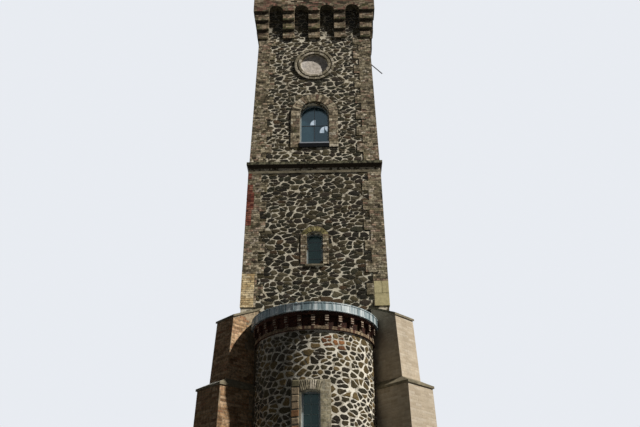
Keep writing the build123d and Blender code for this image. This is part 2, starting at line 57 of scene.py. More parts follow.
# The tower's faces and levels, from the frame
ground_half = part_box("right_wall_lower")[1].x
string_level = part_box("right_wall_lower")[1].z
quoin_top, string_top = levels("string_course")
upper_foot_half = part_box("right_wall_upper")[1].x
corbel_level, corbel_top = levels("corbels")
wall_top_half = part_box("platform")[1].x
platform_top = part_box("platform")[1].z
parapet_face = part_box("front_parapet")[1].x
parapet_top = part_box("front_parapet")[1].z
merlon_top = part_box("merlons")[1].z
lower_batter = 0.068
lower_lean = lower_batter / string_level
upper_lean = (upper_foot_half - wall_top_half) / (corbel_level - string_level)
SIDES = ("front", "right", "back", "left")

# Brickwork, with the share of courses that shift against their neighbours, and the slimmest brick as a share of
# a whole one
lowest_brick = 0.005
brick_course = 0.077
brick_length = 0.252
brick_joint = 0.011
brick_proud = 0.004
brick_sink = 0.004
brick_chamfer = 0.004
odd_courses = 0.12
slimmest_brick = 0.12

# Rubble: the mean stone and its joint on the tower's flat walls and on the bay, and how the stones vary
stone_width = 0.215
stone_height = 0.112
stone_joint = 0.0175
lower_joint = 0.0085
bay_stone_width = 0.185
bay_stone_height = 0.12
bay_stone_joint = 0.021
stone_corners = 14
stone_proud = 0.014
stone_most_proud = 0.017
stones_left_out = 0.38
seed_jitter = 0.46
outline_roughness = 0.2
joint_share = (0.15, 0.9)
least_stone = 0.15
stone_tilt = 0.05
shoulder_share = (0.86, 0.95)

# How far in from the tower's corner the rubble starts beside the quoins, beside the buttresses and between those
# two, and how far over the bay's wall and the doorway's springing it stays clear of them
beside_quoin = 0.33
beside_buttress = 0.42
beside_corner = 0.13
over_bay = 0.5
over_doorway = 0.75

# Windows and doorway
upper_window_half = 0.535
upper_band = 0.33
upper_sill_height = 0.21
upper_sill_level, upper_head = levels("upper_window_frames")
upper_springing = upper_head - upper_window_half
upper_course = 0.13
upper_wedges = 21
middle_window_half = 0.27
middle_band = 0.19
middle_rise = 0.115
middle_sill_level, middle_head = levels("middle_window_frames")
middle_springing = middle_head - middle_rise
middle_wedges = 11
thin_sill_height = 0.06
sill_edge = 0.05
reveal_proud = 0.003
doorway_half = 0.55
doorway_band = 0.3
doorway_springing = 1.9
doorway_wedges = 31
frame_width = 0.05
glazing_depth = 0.025

# Glazing bars, as half widths and depths, the level of the upper windows' bar, and the bright mirror patches
# beside it, painted reflections of the sky: each a corner and two reaches
upper_bar = 0.011
thin_bar = 0.008
bar_depth = 0.006
middle_bar_depth = 0.005
upper_bar_level = 16.52
REFLECTION_PATCHES = (((0.03, 16.56), (0.19, 0.24)), ((0.355, 16.2), (0.165, 0.28)), ((0.5, 16.5), (0.13, -0.25)))

# Medallion, and each ring's inner radius, outer radius and number of stones
medallion_level = sum(levels("medallion_rings")) / 2
medallion_radius = 0.78
ring_joint = 0.008
MEDALLION_RINGS = ((0.53, 0.635, 17), (0.675, medallion_radius, 22))

# Quoins
quoin_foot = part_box("quoins")[0].z
quoin_height = 0.385
quoin_proud = 0.022
quoin_long = 0.65
quoin_short = 0.44
quoin_bricks_high = 5
quoin_brick_length = 0.165
patch_proud = 0.005
render_block_length = 0.5
render_block_course = 0.42

# The front corner (1 right, -1 left) at an end of a side, as (side, end), and the quoins' patches: each the front
# corner that carries it, its foot, its courses and its width
CORNERS = {(0, 1): 1, (1, -1): 1, (0, -1): -1, (3, 1): -1}
RED_PATCHES = ((-1, 12.15, 8, 0.2), (-1, 12.77, 9, 0.26), (-1, 13.46, 4, 0.2), (-1, 14.05, 3, 0.14))
PINK_PATCHES = ((1, 13.9, 4, 0.36),)
WARM_PATCHES = ((-1, 8.9, 15, 0.42),)
SMOOTH_PATCHES = ((1, 9.2, 11, 0.47),)

# Corbels and battlements
corbel_half = 0.23
corbel_pitch = 1.03
corbel_step = (parapet_face - wall_top_half) / 4
corbel_tier = (corbel_top - corbel_level) / 3
corbel_gap_half = (corbel_pitch - 2 * corbel_half) / 2
corner_corbel_edge = 1.83
gap_ring = 0.115
gap_wedges = 13
crenel_half = 0.31

# Round bay: its wall, frieze and fascia. A half turn is an angle from its foremost line, in radians, and the seams
# are counted to either side of it
bay_radius = 1.74
bay_wall_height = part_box("bay_wall_front")[1].z
bay_axis = -(ground_half - lower_lean * bay_wall_height)
fascia_radius = 1.92
fascia_low, fascia_top = levels("bay_fascia")
fascia_half_turn = 1.5
fascia_seam_turn = 0.145
fascia_seams_beside = 10
seam_half = 0.012
seam_proud = 0.012
bead_count = 60
bead_proud = 0.014
roof_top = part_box("bay_roof")[1].z
roof_tray_degrees = 15
roof_seams_beside = 5
roof_seam_halves = (0.013, 0.008)
roof_seam_proud = 0.028
moulding_proud = 0.06
moulding_top = bay_wall_height + 0.1
frieze_top = bay_wall_height + 0.43
cap_top = bay_wall_height + 0.51
frieze_course = 0.085
frieze_half_turn = 1.48
dentil_count = 13
dentil_proud = 0.12
dentil_half = 0.052
dentil_degrees = 12.2
moulding_stripes = bay_wall_height + 0.105
dentil_stripes = bay_wall_height + 0.235
stripe_height = 0.03
stripe_pitch = 0.066
ORANGE_PATCH = ((0.22, 7.38), (0.98, 7.7))

# The bay's window. A stone is its length and its course
bay_window_half = 0.255
bay_window_middle = -0.06
bay_band = 0.28
bay_rise = 0.05
bay_sill, bay_head = levels("bay_window_frame")
bay_springing = bay_head - bay_rise
bay_surround_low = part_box("bay_window_surround")[0].z
bay_surround_proud = 0.025
bay_reveal = 0.2
bay_arch_half = 0.36
bay_arch_wedges = 11
KEYSTONE_WEDGES = (5, 6, 7)
JAMB_STONE = (0.16, 0.105)
ARCH_STONE = (0.17, 0.11)
BROWN_STONE = (0.6, 0.19)
pale_joint = 0.02
brown_joint = 0.03

# Buttresses: levels, reaches out from the tower's corner, and half widths
buttress_step = 6.6
buttress_shoulder = 6.85
buttress_top = 8.8
buttress_foot_reach = 1.12
buttress_step_reach = 0.96
buttress_shoulder_reach = 0.655
buttress_top_reach = 0.54
buttress_foot_half = 0.61
buttress_step_half = 0.55
buttress_shoulder_half = 0.41
ramp_rise = 0.4
ramp_degrees = 25
ramp_coping = 0.07
washed_proud = 0.0015
bare_proud = 0.003

# Shine of stone, brick and mortar
dull = 0.15

# Camera: the photograph's viewpoint, low in front of the tower and tilted up
image_width = 640
focal_pixels = 657.2
sensor_width = 36
camera_place = Vector((0.528, -21.469, 1.6))
camera_tilt = 0.5217
camera_yaw = 0.0179
camera_roll = -0.0071

# Suns as azimuth, height, strength, softness and colour; the floor and the surround as what they add to the light
# and what the camera sees of them
KEY_SUN = (64, 46, 5.05, 2.0, (1.0, 0.96, 0.9))
BACK_FILL = (210, 35, 2.2, 8.0, (0.94, 0.97, 1.0))
floor_half = 60
floor_lighting = (0.028, 0.028, 0.027)
floor_looks = (0.48, 0.48, 0.47)
surround_colour = (0.88, 0.91, 0.96, 1)
surround_lighting = 0.03
surround_added = 0.89


class Flat:
    """A flat face. A point on it is origin + across * a + up * b + out * c, with out pointing outward."""

    def __init__(self, origin, across, up, out):
        self.origin, self.across, self.up, self.out = (np.array(v, float) for v in (origin, across, up, out))

    def place(self, across, up, out):
        """The points (..., 3) at distances along the three directions."""
        across, up, out = np.broadcast_arrays(across, up, out)
        return (self.origin + across[..., None] * self.across + up[..., None] * self.up
                + out[..., None] * self.out)

    def turned(self, degrees_about_z):
        """The same face turned about the tower's middle line."""
        turn = np.array(Matrix.Rotation(radians(degrees_about_z), 3, "Z"))
        return Flat(turn @ self.origin, turn @ self.across, turn @ self.up, turn @ self.out)

    def sides(self):
        """The face on the front, right, back and left of the tower."""
        return [self.turned(90 * side) for side in range(4)]


class Round:
    """An upright round face about an axis. Across is the arc's length from its foremost line."""

    def __init__(self, radius, axis_y):
        self.radius, self.axis_y = radius, axis_y

    def place(self, across, up, out):
        """The points (..., 3) at the angle across / radius, radius + out away from the axis."""
        across, up, out = np.broadcast_arrays(across, up, out)
        turn = across / self.radius
        reach = self.radius + out
        return np.stack([reach * np.sin(turn), self.axis_y - reach * np.cos(turn), up], axis=-1)


def upright_face(start, end):
    """The upright face that runs from start to end, points in plan, seen from its outside with start on the left."""
    start, end = np.array(start, float), np.array(end, float)
    along = (end - start) / np.linalg.norm(end - start)
    return Flat((*start, 0), (*along, 0), (0, 0, 1), (along[1], -along[0], 0))


def front_plane(half, lean=0.0, level=0.0):
    """The front face whose half width is half at a level, leaning in by lean for each metre of height."""
    return Flat((0, -(half + lean * level), 0), (1, 0, 0), (0, lean, 1), (0, -1, 0))


def add_object(name, data):
    """A new object in the scene, at the origin."""
    made = bpy.data.objects.new(name, data)
    bpy.context.scene.collection.objects.link(made)
    return made


class Pieces:
    """Gathers blocks on faces and joins them into one mesh with a tint for each block."""

    def __init__(self):
        self.points, self.loops, self.starts, self.tints, self.rims = [], [], [], [], []
        self.count, self.corner_count = 0, 0

    def add_faces(self, faces):
        """Faces of one length, as an array (..., corners) of point numbers counted from this call's first point."""
        flat = faces.reshape(-1, faces.shape[-1])
        self.starts.append(self.corner_count + np.arange(len(flat)) * flat.shape[1])
        self.loops.append(flat.ravel() + self.count)
        self.corner_count += flat.size

    def raise_blocks(self, face, rings, tints=0.5, peak=None):
        """Blocks whose sides climb from ring to ring, each ring (outline (n, k, 2), out (n, k) or a number). The
        last ring is closed by one face, or where peak gives a height by a fan to its middle. The first ring is the
        block's rim. The tints are one for each block, or one for all."""
        blocks, corners = rings[0][0].shape[:2]
        if not blocks:
            return
        levels = [face.place(ring[..., 0], ring[..., 1], np.broadcast_to(out, ring.shape[:2])) for ring, out in rings]
        if peak is not None:
            middle = rings[-1][0].mean(axis=1, keepdims=True)
            levels.append(face.place(middle[..., 0], middle[..., 1], np.reshape(peak, (-1, 1))))
        points = np.concatenate(levels, axis=1)
        per_block = points.shape[1]
        base = np.arange(blocks)[:, None] * per_block
        here = np.arange(corners)
        after = (here + 1) % corners
        for level in range(len(rings) - 1):
            low = base + level * corners
            self.add_faces(np.stack([low + here, low + after, low + corners + after, low + corners + here], axis=-1))
        last = base + (len(rings) - 1) * corners
        if peak is None:
            self.add_faces(last + here)
        else:
            centre = np.broadcast_to(last + corners, (blocks, corners))
            self.add_faces(np.stack([last + here, last + after, centre], axis=-1))
        self.points.append(points.reshape(-1, 3))
        self.tints.append(np.repeat(np.broadcast_to(tints, blocks), per_block))
        self.rims.append(np.tile(np.arange(per_block) < corners, blocks).astype(float))
        self.count += blocks * per_block

    def raise_bars(self, face, outlines, sink, proud):
        """Straight-sided bars, from below the face to above it."""
        self.raise_blocks(face, [(outlines, -sink), (outlines, proud)])

    def make(self, name, material, slot):
        """One mesh object that rides on the tower."""
        mesh = bpy.data.meshes.new(name)
        points = np.concatenate(self.points)
        loops = np.concatenate(self.loops)
        mesh.vertices.add(len(points))
        mesh.vertices.foreach_set("co", points.ravel())
        mesh.loops.add(len(loops))
        mesh.loops.foreach_set("vertex_index", loops.astype(np.int32))
        starts = np.concatenate(self.starts)
        order = np.argsort(starts, kind="stable")
        mesh.polygons.add(len(starts))
        mesh.polygons.foreach_set("loop_start", starts[order].astype(np.int32))
        mesh.polygons.foreach_set("use_smooth", np.zeros(len(starts), bool))
        mesh.update(calc_edges=True)
        # The rim marks each block's first ring; the rubble's finish darkens it as painted shade.
        for label, values in (("tint", self.tints), ("rim", self.rims)):
            mesh.attributes.new(label, "FLOAT", "POINT").data.foreach_set("value", np.concatenate(values))
        mesh.materials.append(material)
        piece = add_object(name, mesh)
        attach(piece, "root")


def rectangles(left, right, low, high):
    """Outlines (n, 4, 2) of upright rectangles, anticlockwise as seen from outside."""
    left, right, low, high = np.broadcast_arrays(left, right, low, high)
    across = np.stack([left, right, right, left], axis=-1)
    up = np.stack([low, low, high, high], axis=-1)
    return np.stack([across, up], axis=-1).reshape(-1, 4, 2)


def add_bricks(pieces, face, outlines, random, proud=brick_proud, chamfer=brick_chamfer, tint=(0.0, 1.0)):
    """Bricks with chamfered edges on a face: the outline pulled in by the chamfer toward each block's middle."""
    if not len(outlines):
        return
    middle = outlines.mean(axis=1, keepdims=True)
    toward = outlines - middle
    size = np.abs(toward).max(axis=1, keepdims=True)
    inner = middle + toward * (1 - np.minimum(chamfer / np.maximum(size, 1e-6), 0.45))
    out = proud * (0.75 + 0.5 * random.random((len(outlines), 1)))
    tints = tint[0] + (tint[1] - tint[0]) * random.random(len(outlines))
    pieces.raise_blocks(face, [(outlines, -brick_sink), (outlines, out - chamfer / 2), (inner, out)], tints)


def courses(left, right, low, high, random, length=brick_length, course=brick_course, joint=brick_joint):
    """Bricks laid in courses between two edges: left and right are numbers, or functions of the courses' levels.
    Alternate courses shift by half a brick, a few shift against that, and the slimmest bricks are dropped."""
    count = max(1, round((high - low) / course))
    bottom = low + (high - low) / count * np.arange(count)
    top = low + (high - low) / count * np.arange(1, count + 1)
    middle = (bottom + top) / 2
    left_edge = left(middle) if callable(left) else np.full(count, float(left))
    right_edge = right(middle) if callable(right) else np.full(count, float(right))
    most = int(np.ceil((right_edge - left_edge).max() / length)) + 2
    shift = np.where(np.arange(count) % 2, 0.5, 0.0) - 0.5 * (random.random(count) < odd_courses)
    start = left_edge[:, None] + (np.arange(most) - 1 + shift[:, None]) * length
    brick_left = np.maximum(start, left_edge[:, None]) + joint / 2
    brick_right = np.minimum(start + length, right_edge[:, None]) - joint / 2
    keep = brick_right - brick_left > length * slimmest_brick
    low_edge = np.broadcast_to(bottom[:, None] + joint / 2, keep.shape)
    high_edge = np.broadcast_to(top[:, None] - joint / 2, keep.shape)
    return rectangles(brick_left[keep], brick_right[keep], low_edge[keep], high_edge[keep])


def voussoirs(inner, outer, count, joint=brick_joint):
    """Wedge bricks between two curves, each a function of a share from 0 to 1 that gives (across, up). Each wedge
    is short of its neighbours and of the inner curve by half a joint."""
    share = np.arange(count + 1) / count
    length = np.linalg.norm(np.diff(np.stack(inner(share), axis=-1), axis=0), axis=-1).mean()
    gap = 0.5 * joint / length / count
    first, last = share[:-1] + gap, share[1:] - gap
    trim = joint / 2
    corners = [inner(first), inner(last), outer(last), outer(first)]
    points = np.stack([np.stack(corner, axis=-1) for corner in corners], axis=1)
    radial = points[:, [3, 2, 1, 0]] - points
    radial /= np.linalg.norm(radial, axis=-1, keepdims=True)
    return points + radial * trim


def head_arc(half, springing, rise, middle=0.0):
    """The arc over an opening, as a function of a share from its left springing point to its right one. Its radius
    is (half^2 + rise^2) / (2 rise)."""
    radius = (half ** 2 + rise ** 2) / (2 * rise)
    centre = springing + rise - radius
    limit = atan2(half, springing - centre)

    def point(share):
        turn = limit * (2 * share - 1)
        return middle + radius * np.sin(turn), centre + radius * np.cos(turn)
    return point


def brick_walls(pieces, path, low, high, random, side, **looks):
    """Bricks on the upright faces between points in plan, taken anticlockwise from above, on a side of the tower."""
    for start, end in zip(path[:-1], path[1:]):
        width = np.hypot(end[0] - start[0], end[1] - start[1])
        face = upright_face(start, end).turned(90 * side)
        add_bricks(pieces, face, courses(0, width, low, high, random), random, **looks)


def add_jambs(pieces, face, half, band, low, high, random, course=brick_course):
    """Bricks up both sides of an opening."""
    for end in (1, -1):
        add_bricks(pieces, face, at_end(end, courses(half, half + band, low, high, random, course=course)), random)


def add_arch(pieces, face, half, springing, rise, band, count, random, middle=0.0):
    """Wedge bricks over an opening, between the arc of its head and one that is a band further out."""
    inner = head_arc(half, springing, rise, middle)
    outer = head_arc(half + band, springing, rise + band, middle)
    add_bricks(pieces, face, voussoirs(inner, outer, count), random)


def at_end(end, outlines):
    """The outlines as they are (1), or the same ones on the left, still anticlockwise (-1)."""
    return outlines if end > 0 else outlines[:, ::-1] * (-1, 1)


def rubble(width, low, high, cell_width, cell_height, joint, random):
    """Stones laid at random between -width/2 and width/2. Seeds stand on a jittered grid, a few of them taken out.
    Each stone is what lies nearer to its own seed: in the direction u its edge is at the least of
    |d|^2 / (2 d.u) over the neighbours d, less half a joint. Returns the outlines (n, corners, 2)."""
    columns = int(np.ceil(width / cell_width)) + 4
    rows = int(np.ceil((high - low) / cell_height)) + 4
    grid = np.stack(np.meshgrid(np.arange(columns), np.arange(rows)), axis=-1).astype(float)
    grid[..., 0] += 0.5 * (np.arange(rows)[:, None] % 2)
    seeds = grid + random.uniform(-seed_jitter, seed_jitter, grid.shape)
    dropped = random.random(seeds.shape[:2]) < stones_left_out
    far_off = 1e4
    known = np.where(dropped[..., None], far_off, seeds)
    padded = np.pad(known, ((2, 2), (2, 2), (0, 0)), constant_values=far_off)
    away = np.stack([padded[2 + i:2 + i + rows, 2 + j:2 + j + columns] - seeds
                     for i in range(-2, 3) for j in range(-2, 3) if (i, j) != (0, 0)], axis=2)
    turns = (np.arange(stone_corners) + random.random(seeds.shape[:2])[..., None]) * 2 * pi / stone_corners
    turns += random.uniform(-0.12, 0.12, turns.shape)
    along = np.stack([np.cos(turns), np.sin(turns)], axis=-1)
    dots = np.einsum("ijnc,ijkc->ijnk", away, along)
    reach = np.where(dots > 1e-6, (away ** 2).sum(axis=-1)[..., None] / np.maximum(2 * dots, 1e-6), 9.0)
    reach = np.minimum(reach.min(axis=2), 1.5) * (1 - outline_roughness * random.random(turns.shape))
    offsets = along * reach[..., None] * (cell_width, cell_height)
    length = np.linalg.norm(offsets, axis=-1, keepdims=True)
    gap = joint * random.uniform(*joint_share, seeds.shape[:2])[..., None, None]
    offsets *= np.maximum(length - gap, 0.2 * length) / length
    middles = (seeds - 2) * (cell_width, cell_height) + (-width / 2, low)
    outlines = (middles[..., None, :] + offsets)[~dropped]
    area = np.abs(polygon_area(outlines))
    return outlines[area > least_stone * cell_width * cell_height]


def polygon_area(outlines):
    """Each outline's area, by the shoelace sum."""
    after = np.roll(outlines, -1, axis=1)
    return (outlines[..., 0] * after[..., 1] - after[..., 0] * outlines[..., 1]).sum(axis=1) / 2


def add_stones(pieces, face, outlines, random):
    """Rough stones: the outline climbs steeply to a shoulder, then slopes to a peak. Each is tilted its own way."""
    count, corners = outlines.shape[:2]
    middle = outlines.mean(axis=1, keepdims=True)
    toward = outlines - middle
    height = stone_proud * random.uniform(0.5, 1.0, (count, 1))
    tilt = random.uniform(-stone_tilt, stone_tilt, (count, 1, 2))
    shoulder = middle + toward * random.uniform(*shoulder_share, (count, corners, 1))
    rough = random.uniform(-0.002, 0.002, (count, corners))
    climb = height * 0.8 + (tilt * (shoulder - middle)).sum(-1) + rough
    rings = [(outlines, -0.003), (shoulder, np.clip(climb, 0.003, stone_most_proud))]
    pieces.raise_blocks(face, rings, random.random(count), peak=height + 0.003)


class Shade:
    """A socket of a material, or a number, with arithmetic on it."""

    def __init__(self, tree, value):
        self.tree, self.value = tree, value

    def math(self, operation, *others, clamp=False):
        """A Math node on this and other values."""
        node = self.tree.nodes.new("ShaderNodeMath")
        node.operation, node.use_clamp = operation, clamp
        for socket, given in zip(node.inputs, (self, *others)):
            put(self.tree, socket, given)
        return Shade(self.tree, node.outputs[0])

    def __add__(self, other): return self.math("ADD", other)
    def __radd__(self, other): return self.math("ADD", other)
    def __sub__(self, other): return self.math("SUBTRACT", other)
    def __rsub__(self, other): return (self * -1).math("ADD", other)
    def __mul__(self, other): return self.math("MULTIPLY", other)
    def __rmul__(self, other): return self.math("MULTIPLY", other)
    def __truediv__(self, other): return self.math("DIVIDE", other)
    def clamped(self): return self.math("ADD", 0.0, clamp=True)
    def between(self, low, high): return ((self - low) / (high - low)).clamped()


def put(tree, socket, given):
    """Sets a socket to a value or links it."""
    given = given.value if isinstance(given, Shade) else given
    if isinstance(given, bpy.types.NodeSocket):
        tree.links.new(given, socket)
    elif socket.type == "RGBA" and len(given) == 3:
        socket.default_value = (*given, 1)
    else:
        socket.default_value = given


class Finish:
    """A material being made: its tree, its shader and the nodes that feed it."""

    def __init__(self, name, **fixed):
        self.material = bpy.data.materials.new(name)
        self.material.use_nodes = True
        self.tree = self.material.node_tree
        self.shader = self.tree.nodes["Principled BSDF"]
        self.position = Shade(self.tree, self.tree.nodes.new("ShaderNodeTexCoord").outputs["Object"])
        self.set(**fixed)

    def set(self, **sockets):
        """Feeds sockets of the shader, named with underscores for spaces."""
        for name, given in sockets.items():
            put(self.tree, self.shader.inputs[name.replace("_", " ")], given)

    def node(self, kind, settings=None, output=0, **sockets):
        """A node of a kind, with its settings, then the values or links of its sockets, named as in set."""
        node = self.tree.nodes.new("ShaderNode" + kind)
        for name, value in (settings or {}).items():
            if name == "stops":
                set_stops(node.color_ramp, *value)
            else:
                setattr(node, name, value)
        for name, given in sockets.items():
            put(self.tree, node.inputs[name.replace("_", " ")], given)
        return Shade(self.tree, node.outputs[output])

    def scaled(self, x, y, z):
        """Object coordinates stretched along each axis."""
        return self.node("Mapping", Vector=self.position, Scale=(x, y, z))

    def noise(self, scale, detail=4.0, rough=0.55, at=None):
        """Fractal noise about 0.5."""
        return self.node("TexNoise", Vector=at or self.position, Scale=scale, Detail=detail, Roughness=rough)

    def attribute(self, name):
        """A number kept on the mesh."""
        return self.node("Attribute", {"attribute_name": name}, output=2)

    def axis(self, name):
        """One object coordinate as a number."""
        return self.node("SeparateXYZ", output=name, Vector=self.position)

    def ramp(self, factor, *stops, smooth=True):
        """A colour that runs through stops of (place, red, green, blue), or steps from one to the next."""
        return self.node("ValToRGB", {"stops": (stops, "LINEAR" if smooth else "CONSTANT")}, Fac=factor)

    def mix(self, factor, first, second):
        """A blend of two colours."""
        return self.node("Mix", {"data_type": "RGBA"}, output="Result", Factor=factor, A=first, B=second)

    def tone(self, colour, factor):
        """A colour made lighter or darker by a number."""
        return self.node("VectorMath", {"operation": "SCALE"}, Vector=colour, Scale=factor)

    def bump(self, height, distance, strength):
        """Relief from a height, distance metres deep."""
        self.set(Normal=self.node("Bump", Height=height, Distance=distance, Strength=strength))


def set_stops(ramp, stops, blend):
    """Fills a colour ramp with its stops of (place, red, green, blue)."""
    ramp.interpolation = blend
    while len(ramp.elements) > 1:
        ramp.elements.remove(ramp.elements[-1])
    for index, (place, *colour) in enumerate(stops):
        element = ramp.elements[0] if index == 0 else ramp.elements.new(place)
        element.position = place
        element.color = (*seen(*colour), 1)


def seen(red, green, blue):
    """A colour as the eye sees it, from 0 to 255, turned to the linear one that a shader needs."""
    return tuple(((value / 255 + 0.055) / 1.055) ** 2.4 if value > 10 else value / 255 / 12.92
                 for value in (red, green, blue))


def weather(finish, colour, streak):
    """Rain streaks and broad soot stains over a wall colour: noise stretched upright, and noise a metre wide."""
    streaks = finish.noise(1.0, 5, 0.6, finish.scaled(3.0, 3.0, 0.35)).between(0.35, 0.7)
    broad = finish.noise(0.55, 3).between(0.3, 0.75)
    return finish.tone(colour, 1 - streak * (streaks * 0.5 + broad * 0.5))


def shade_and_soot_share(finish, damp):
    """The share of light left by painted shade with soot on the wall above the corbels' foot, in their gaps under the
    parapet, and by damp below the string course.
    """
    height = finish.axis("Z")
    below = (height * -1 + string_level).between(0.0, 0.3)
    # Above the corbels' foot the wall is darkened by painted shade with soot; lower down, damp darkens it.
    return (1 - height.between(corbel_level, corbel_level + 0.7) * 0.62) * (1 - below * damp)


def mortar_finish():
    """Pale lime mortar, sanded, worn dark in places, whiter on the bay, and darkened under the parapet by painted
    shade with soot.
    """
    finish = Finish("pale_mortar", Roughness=0.92, Specular_IOR_Level=dull)
    grain = finish.noise(95.0, 3)
    patch = finish.noise(2.3, 5).between(0.3, 0.7)
    height = finish.axis("Z")
    on_bay = (height * -1 + bay_wall_height).between(-0.02, 0.02) * (finish.axis("Y") * -1).between(2.36, 2.4)
    worn = finish.noise(5.5, 5, 0.6).between(0.49, 0.6)
    wall = finish.mix(worn, finish.mix(patch, seen(252, 245, 226), seen(222, 211, 186)), seen(88, 80, 62))
    bay = finish.mix(patch, seen(244, 240, 226), seen(212, 204, 186))
    colour = finish.mix(on_bay, wall, finish.mix(worn * 0.6, bay, seen(104, 96, 80)))
    colour = weather(finish, colour, 0.3)
    damp = (1 - on_bay) * 0.05
    finish.set(Base_Color=finish.tone(colour, (0.85 + grain * 0.3) * shade_and_soot_share(finish, damp)))
    finish.bump(grain * 0.5 + finish.noise(24.0, 4), 0.006, 0.7)
    return finish.material


def stone_finish(name, shades, warm, damp=0.0):
    """Dark rubble: each stone takes its shade from its tint, with mineral specks and lichen, painted shade along its
    foot where it meets the mortar, and painted shade with soot under the parapet.
    """
    finish = Finish(name, Roughness=0.85, Specular_IOR_Level=dull)
    tint = finish.attribute("tint")
    colour = finish.ramp(tint, *shades, smooth=False)
    second = (tint * 37.7).math("FRACT")
    cloud = finish.noise(9.0, 5, 0.6)
    mottle = finish.noise(22.0, 5, 0.65).between(0.3, 0.7)
    colour = finish.tone(colour, 0.14 + second * 0.36 + mottle * 0.9)
    lichen = finish.noise(5.0, 6, 0.68).between(0.6, 0.74) * 0.55
    colour = finish.mix(lichen, colour, warm)
    specks = finish.noise(70.0, 2).between(0.58, 0.8)
    colour = finish.mix(specks * 0.5, colour, seen(150, 144, 122))
    # The rim term is painted shade along each stone's foot, where it meets the mortar.
    colour = finish.tone(colour, (1 - finish.attribute("rim") * 0.5) * shade_and_soot_share(finish, damp))
    finish.set(Base_Color=weather(finish, colour, 0.25))
    finish.bump(cloud + finish.noise(38.0, 4) * 0.6, 0.012, 0.8)
    return finish.material


def brick_finish(name, shades, moss=0.3, bed=False, dirt=0.35, mottling=1.0, tiers=False):
    """Weathered bricks that take their shade from their tint, or as a bed from noise, with kiln marks, soot and
    green growth. The corbels' tiers are darkened under each ledge by painted shade with soot, and green along
    their lower edges."""
    finish = Finish(name, Roughness=0.9, Specular_IOR_Level=dull)
    tint = finish.noise(1.7, 4).between(0.25, 0.75) if bed else finish.attribute("tint")
    colour = finish.ramp(tint, *shades)
    cloud = finish.noise(14.0, 5, 0.6)
    mottle = finish.noise(11.0, 6, 0.72).between(0.36, 0.64)
    colour = finish.tone(colour, 1 + (mottle - 0.54) * mottling)
    growth = finish.noise(1.9, 6, 0.66).between(0.56, 0.72) * moss
    colour = finish.mix(growth, colour, seen(112, 122, 58))
    if tiers:
        share = ((finish.axis("Z") - corbel_level) / corbel_tier).math("FRACT")
        foot = (1 - share.between(0.08, 0.3)) * finish.noise(6.0, 4).between(0.4, 0.6)
        colour = finish.mix(foot * 0.8, colour, seen(62, 78, 40))
        # The upper part of each tier, under the ledge above, is darkened as painted shade with soot.
        colour = finish.tone(colour, 1 - share.between(0.5, 0.75) * 0.75)
    finish.set(Base_Color=weather(finish, colour, dirt))
    finish.bump(cloud * 0.7 + finish.noise(60.0, 3) * 0.5, 0.004, 0.7)
    return finish.material


def stone_dressing_finish(name, banded=False):
    """Cut stone under soot. The banded kind is the string course: a mossy cornice, and a bed mould painted
    near-black as painted shade under the cornice, over a fillet of plain stone."""
    finish = Finish(name, Roughness=0.88, Specular_IOR_Level=dull)
    cloud = finish.noise(4.2, 6, 0.66).between(0.3, 0.7)
    colour = finish.mix(cloud, seen(88, 80, 64), seen(160, 151, 128))
    if banded:
        height = finish.axis("Z")
        moss = finish.mix(finish.noise(9.0, 6, 0.75).between(0.42, 0.6), seen(28, 28, 18), seen(142, 138, 112))
        # The bed mould's near-black is painted shade under the cornice.
        bed = finish.mix(cloud, seen(34, 29, 22), seen(66, 54, 42))
        colour = finish.mix(height.between(string_level - 0.3, string_level - 0.27), colour, bed)
        colour = finish.mix(height.between(string_level - 0.11, string_level - 0.1), colour, moss)
    finish.set(Base_Color=weather(finish, colour, 0.4))
    finish.bump(cloud + finish.noise(45.0, 4) * 0.4, 0.006, 0.7)
    return finish.material


def render_finish():
    """Smooth lime render on the buttresses, pitted, rain-streaked and stained."""
    finish = Finish("pitted_lime_render", Roughness=0.9, Specular_IOR_Level=dull)
    patch = finish.noise(1.4, 6, 0.6)
    colour = finish.ramp(patch, (0.3, 180, 166, 144), (0.5, 198, 185, 164), (0.68, 190, 174, 154))
    pits = finish.noise(16.0, 3).between(0.63, 0.72)
    colour = finish.mix(pits * 0.5, colour, seen(122, 104, 82))
    finish.set(Base_Color=weather(finish, colour, 0.3))
    finish.bump(patch - pits * 0.4 + finish.noise(55.0, 3) * 0.2, 0.008, 0.7)
    return finish.material


def zinc_finish():
    """Weathered zinc sheet: a pale blue-grey bloom over darker metal, in streaks down the bay's fascia."""
    finish = Finish("weathered_zinc", Metallic=0.05, Specular_IOR_Level=0.25)
    on_roof = finish.axis("Z").between(fascia_top, fascia_top + 0.03)
    streaks = finish.noise(1.0, 5, 0.65, finish.scaled(7.5, 7.5, 0.5))
    bloom = streaks * (1 - on_roof) + (finish.noise(1.6, 4) * 0.4 + 0.3) * on_roof
    colour = finish.ramp(bloom, (0.34, 92, 112, 118), (0.46, 136, 155, 160), (0.6, 214, 222, 224))
    finish.set(Base_Color=weather(finish, colour, 0.3), Roughness=0.4 + bloom * 0.3)
    finish.bump(finish.noise(2.6, 3), 0.012, 0.6)
    return finish.material


def paint_finish(name, shade, worn=0.6, shine=0.5, edge_level=None):
    """Thin paint on the window frames and bars, worn and dusty, and pale above a sill's edge."""
    finish = Finish(name, Roughness=0.5, Specular_IOR_Level=shine)
    wear = finish.noise(18.0, 5, 0.65).between(0.58, 0.75)
    colour = finish.mix(wear * worn, shade, seen(150, 150, 144))
    if edge_level:
        colour = finish.mix(finish.axis("Z").between(edge_level, edge_level + 0.008), colour, seen(176, 182, 192))
    finish.set(Base_Color=weather(finish, colour, 0.3))
    finish.bump(wear, 0.001, 0.5)
    return finish.material


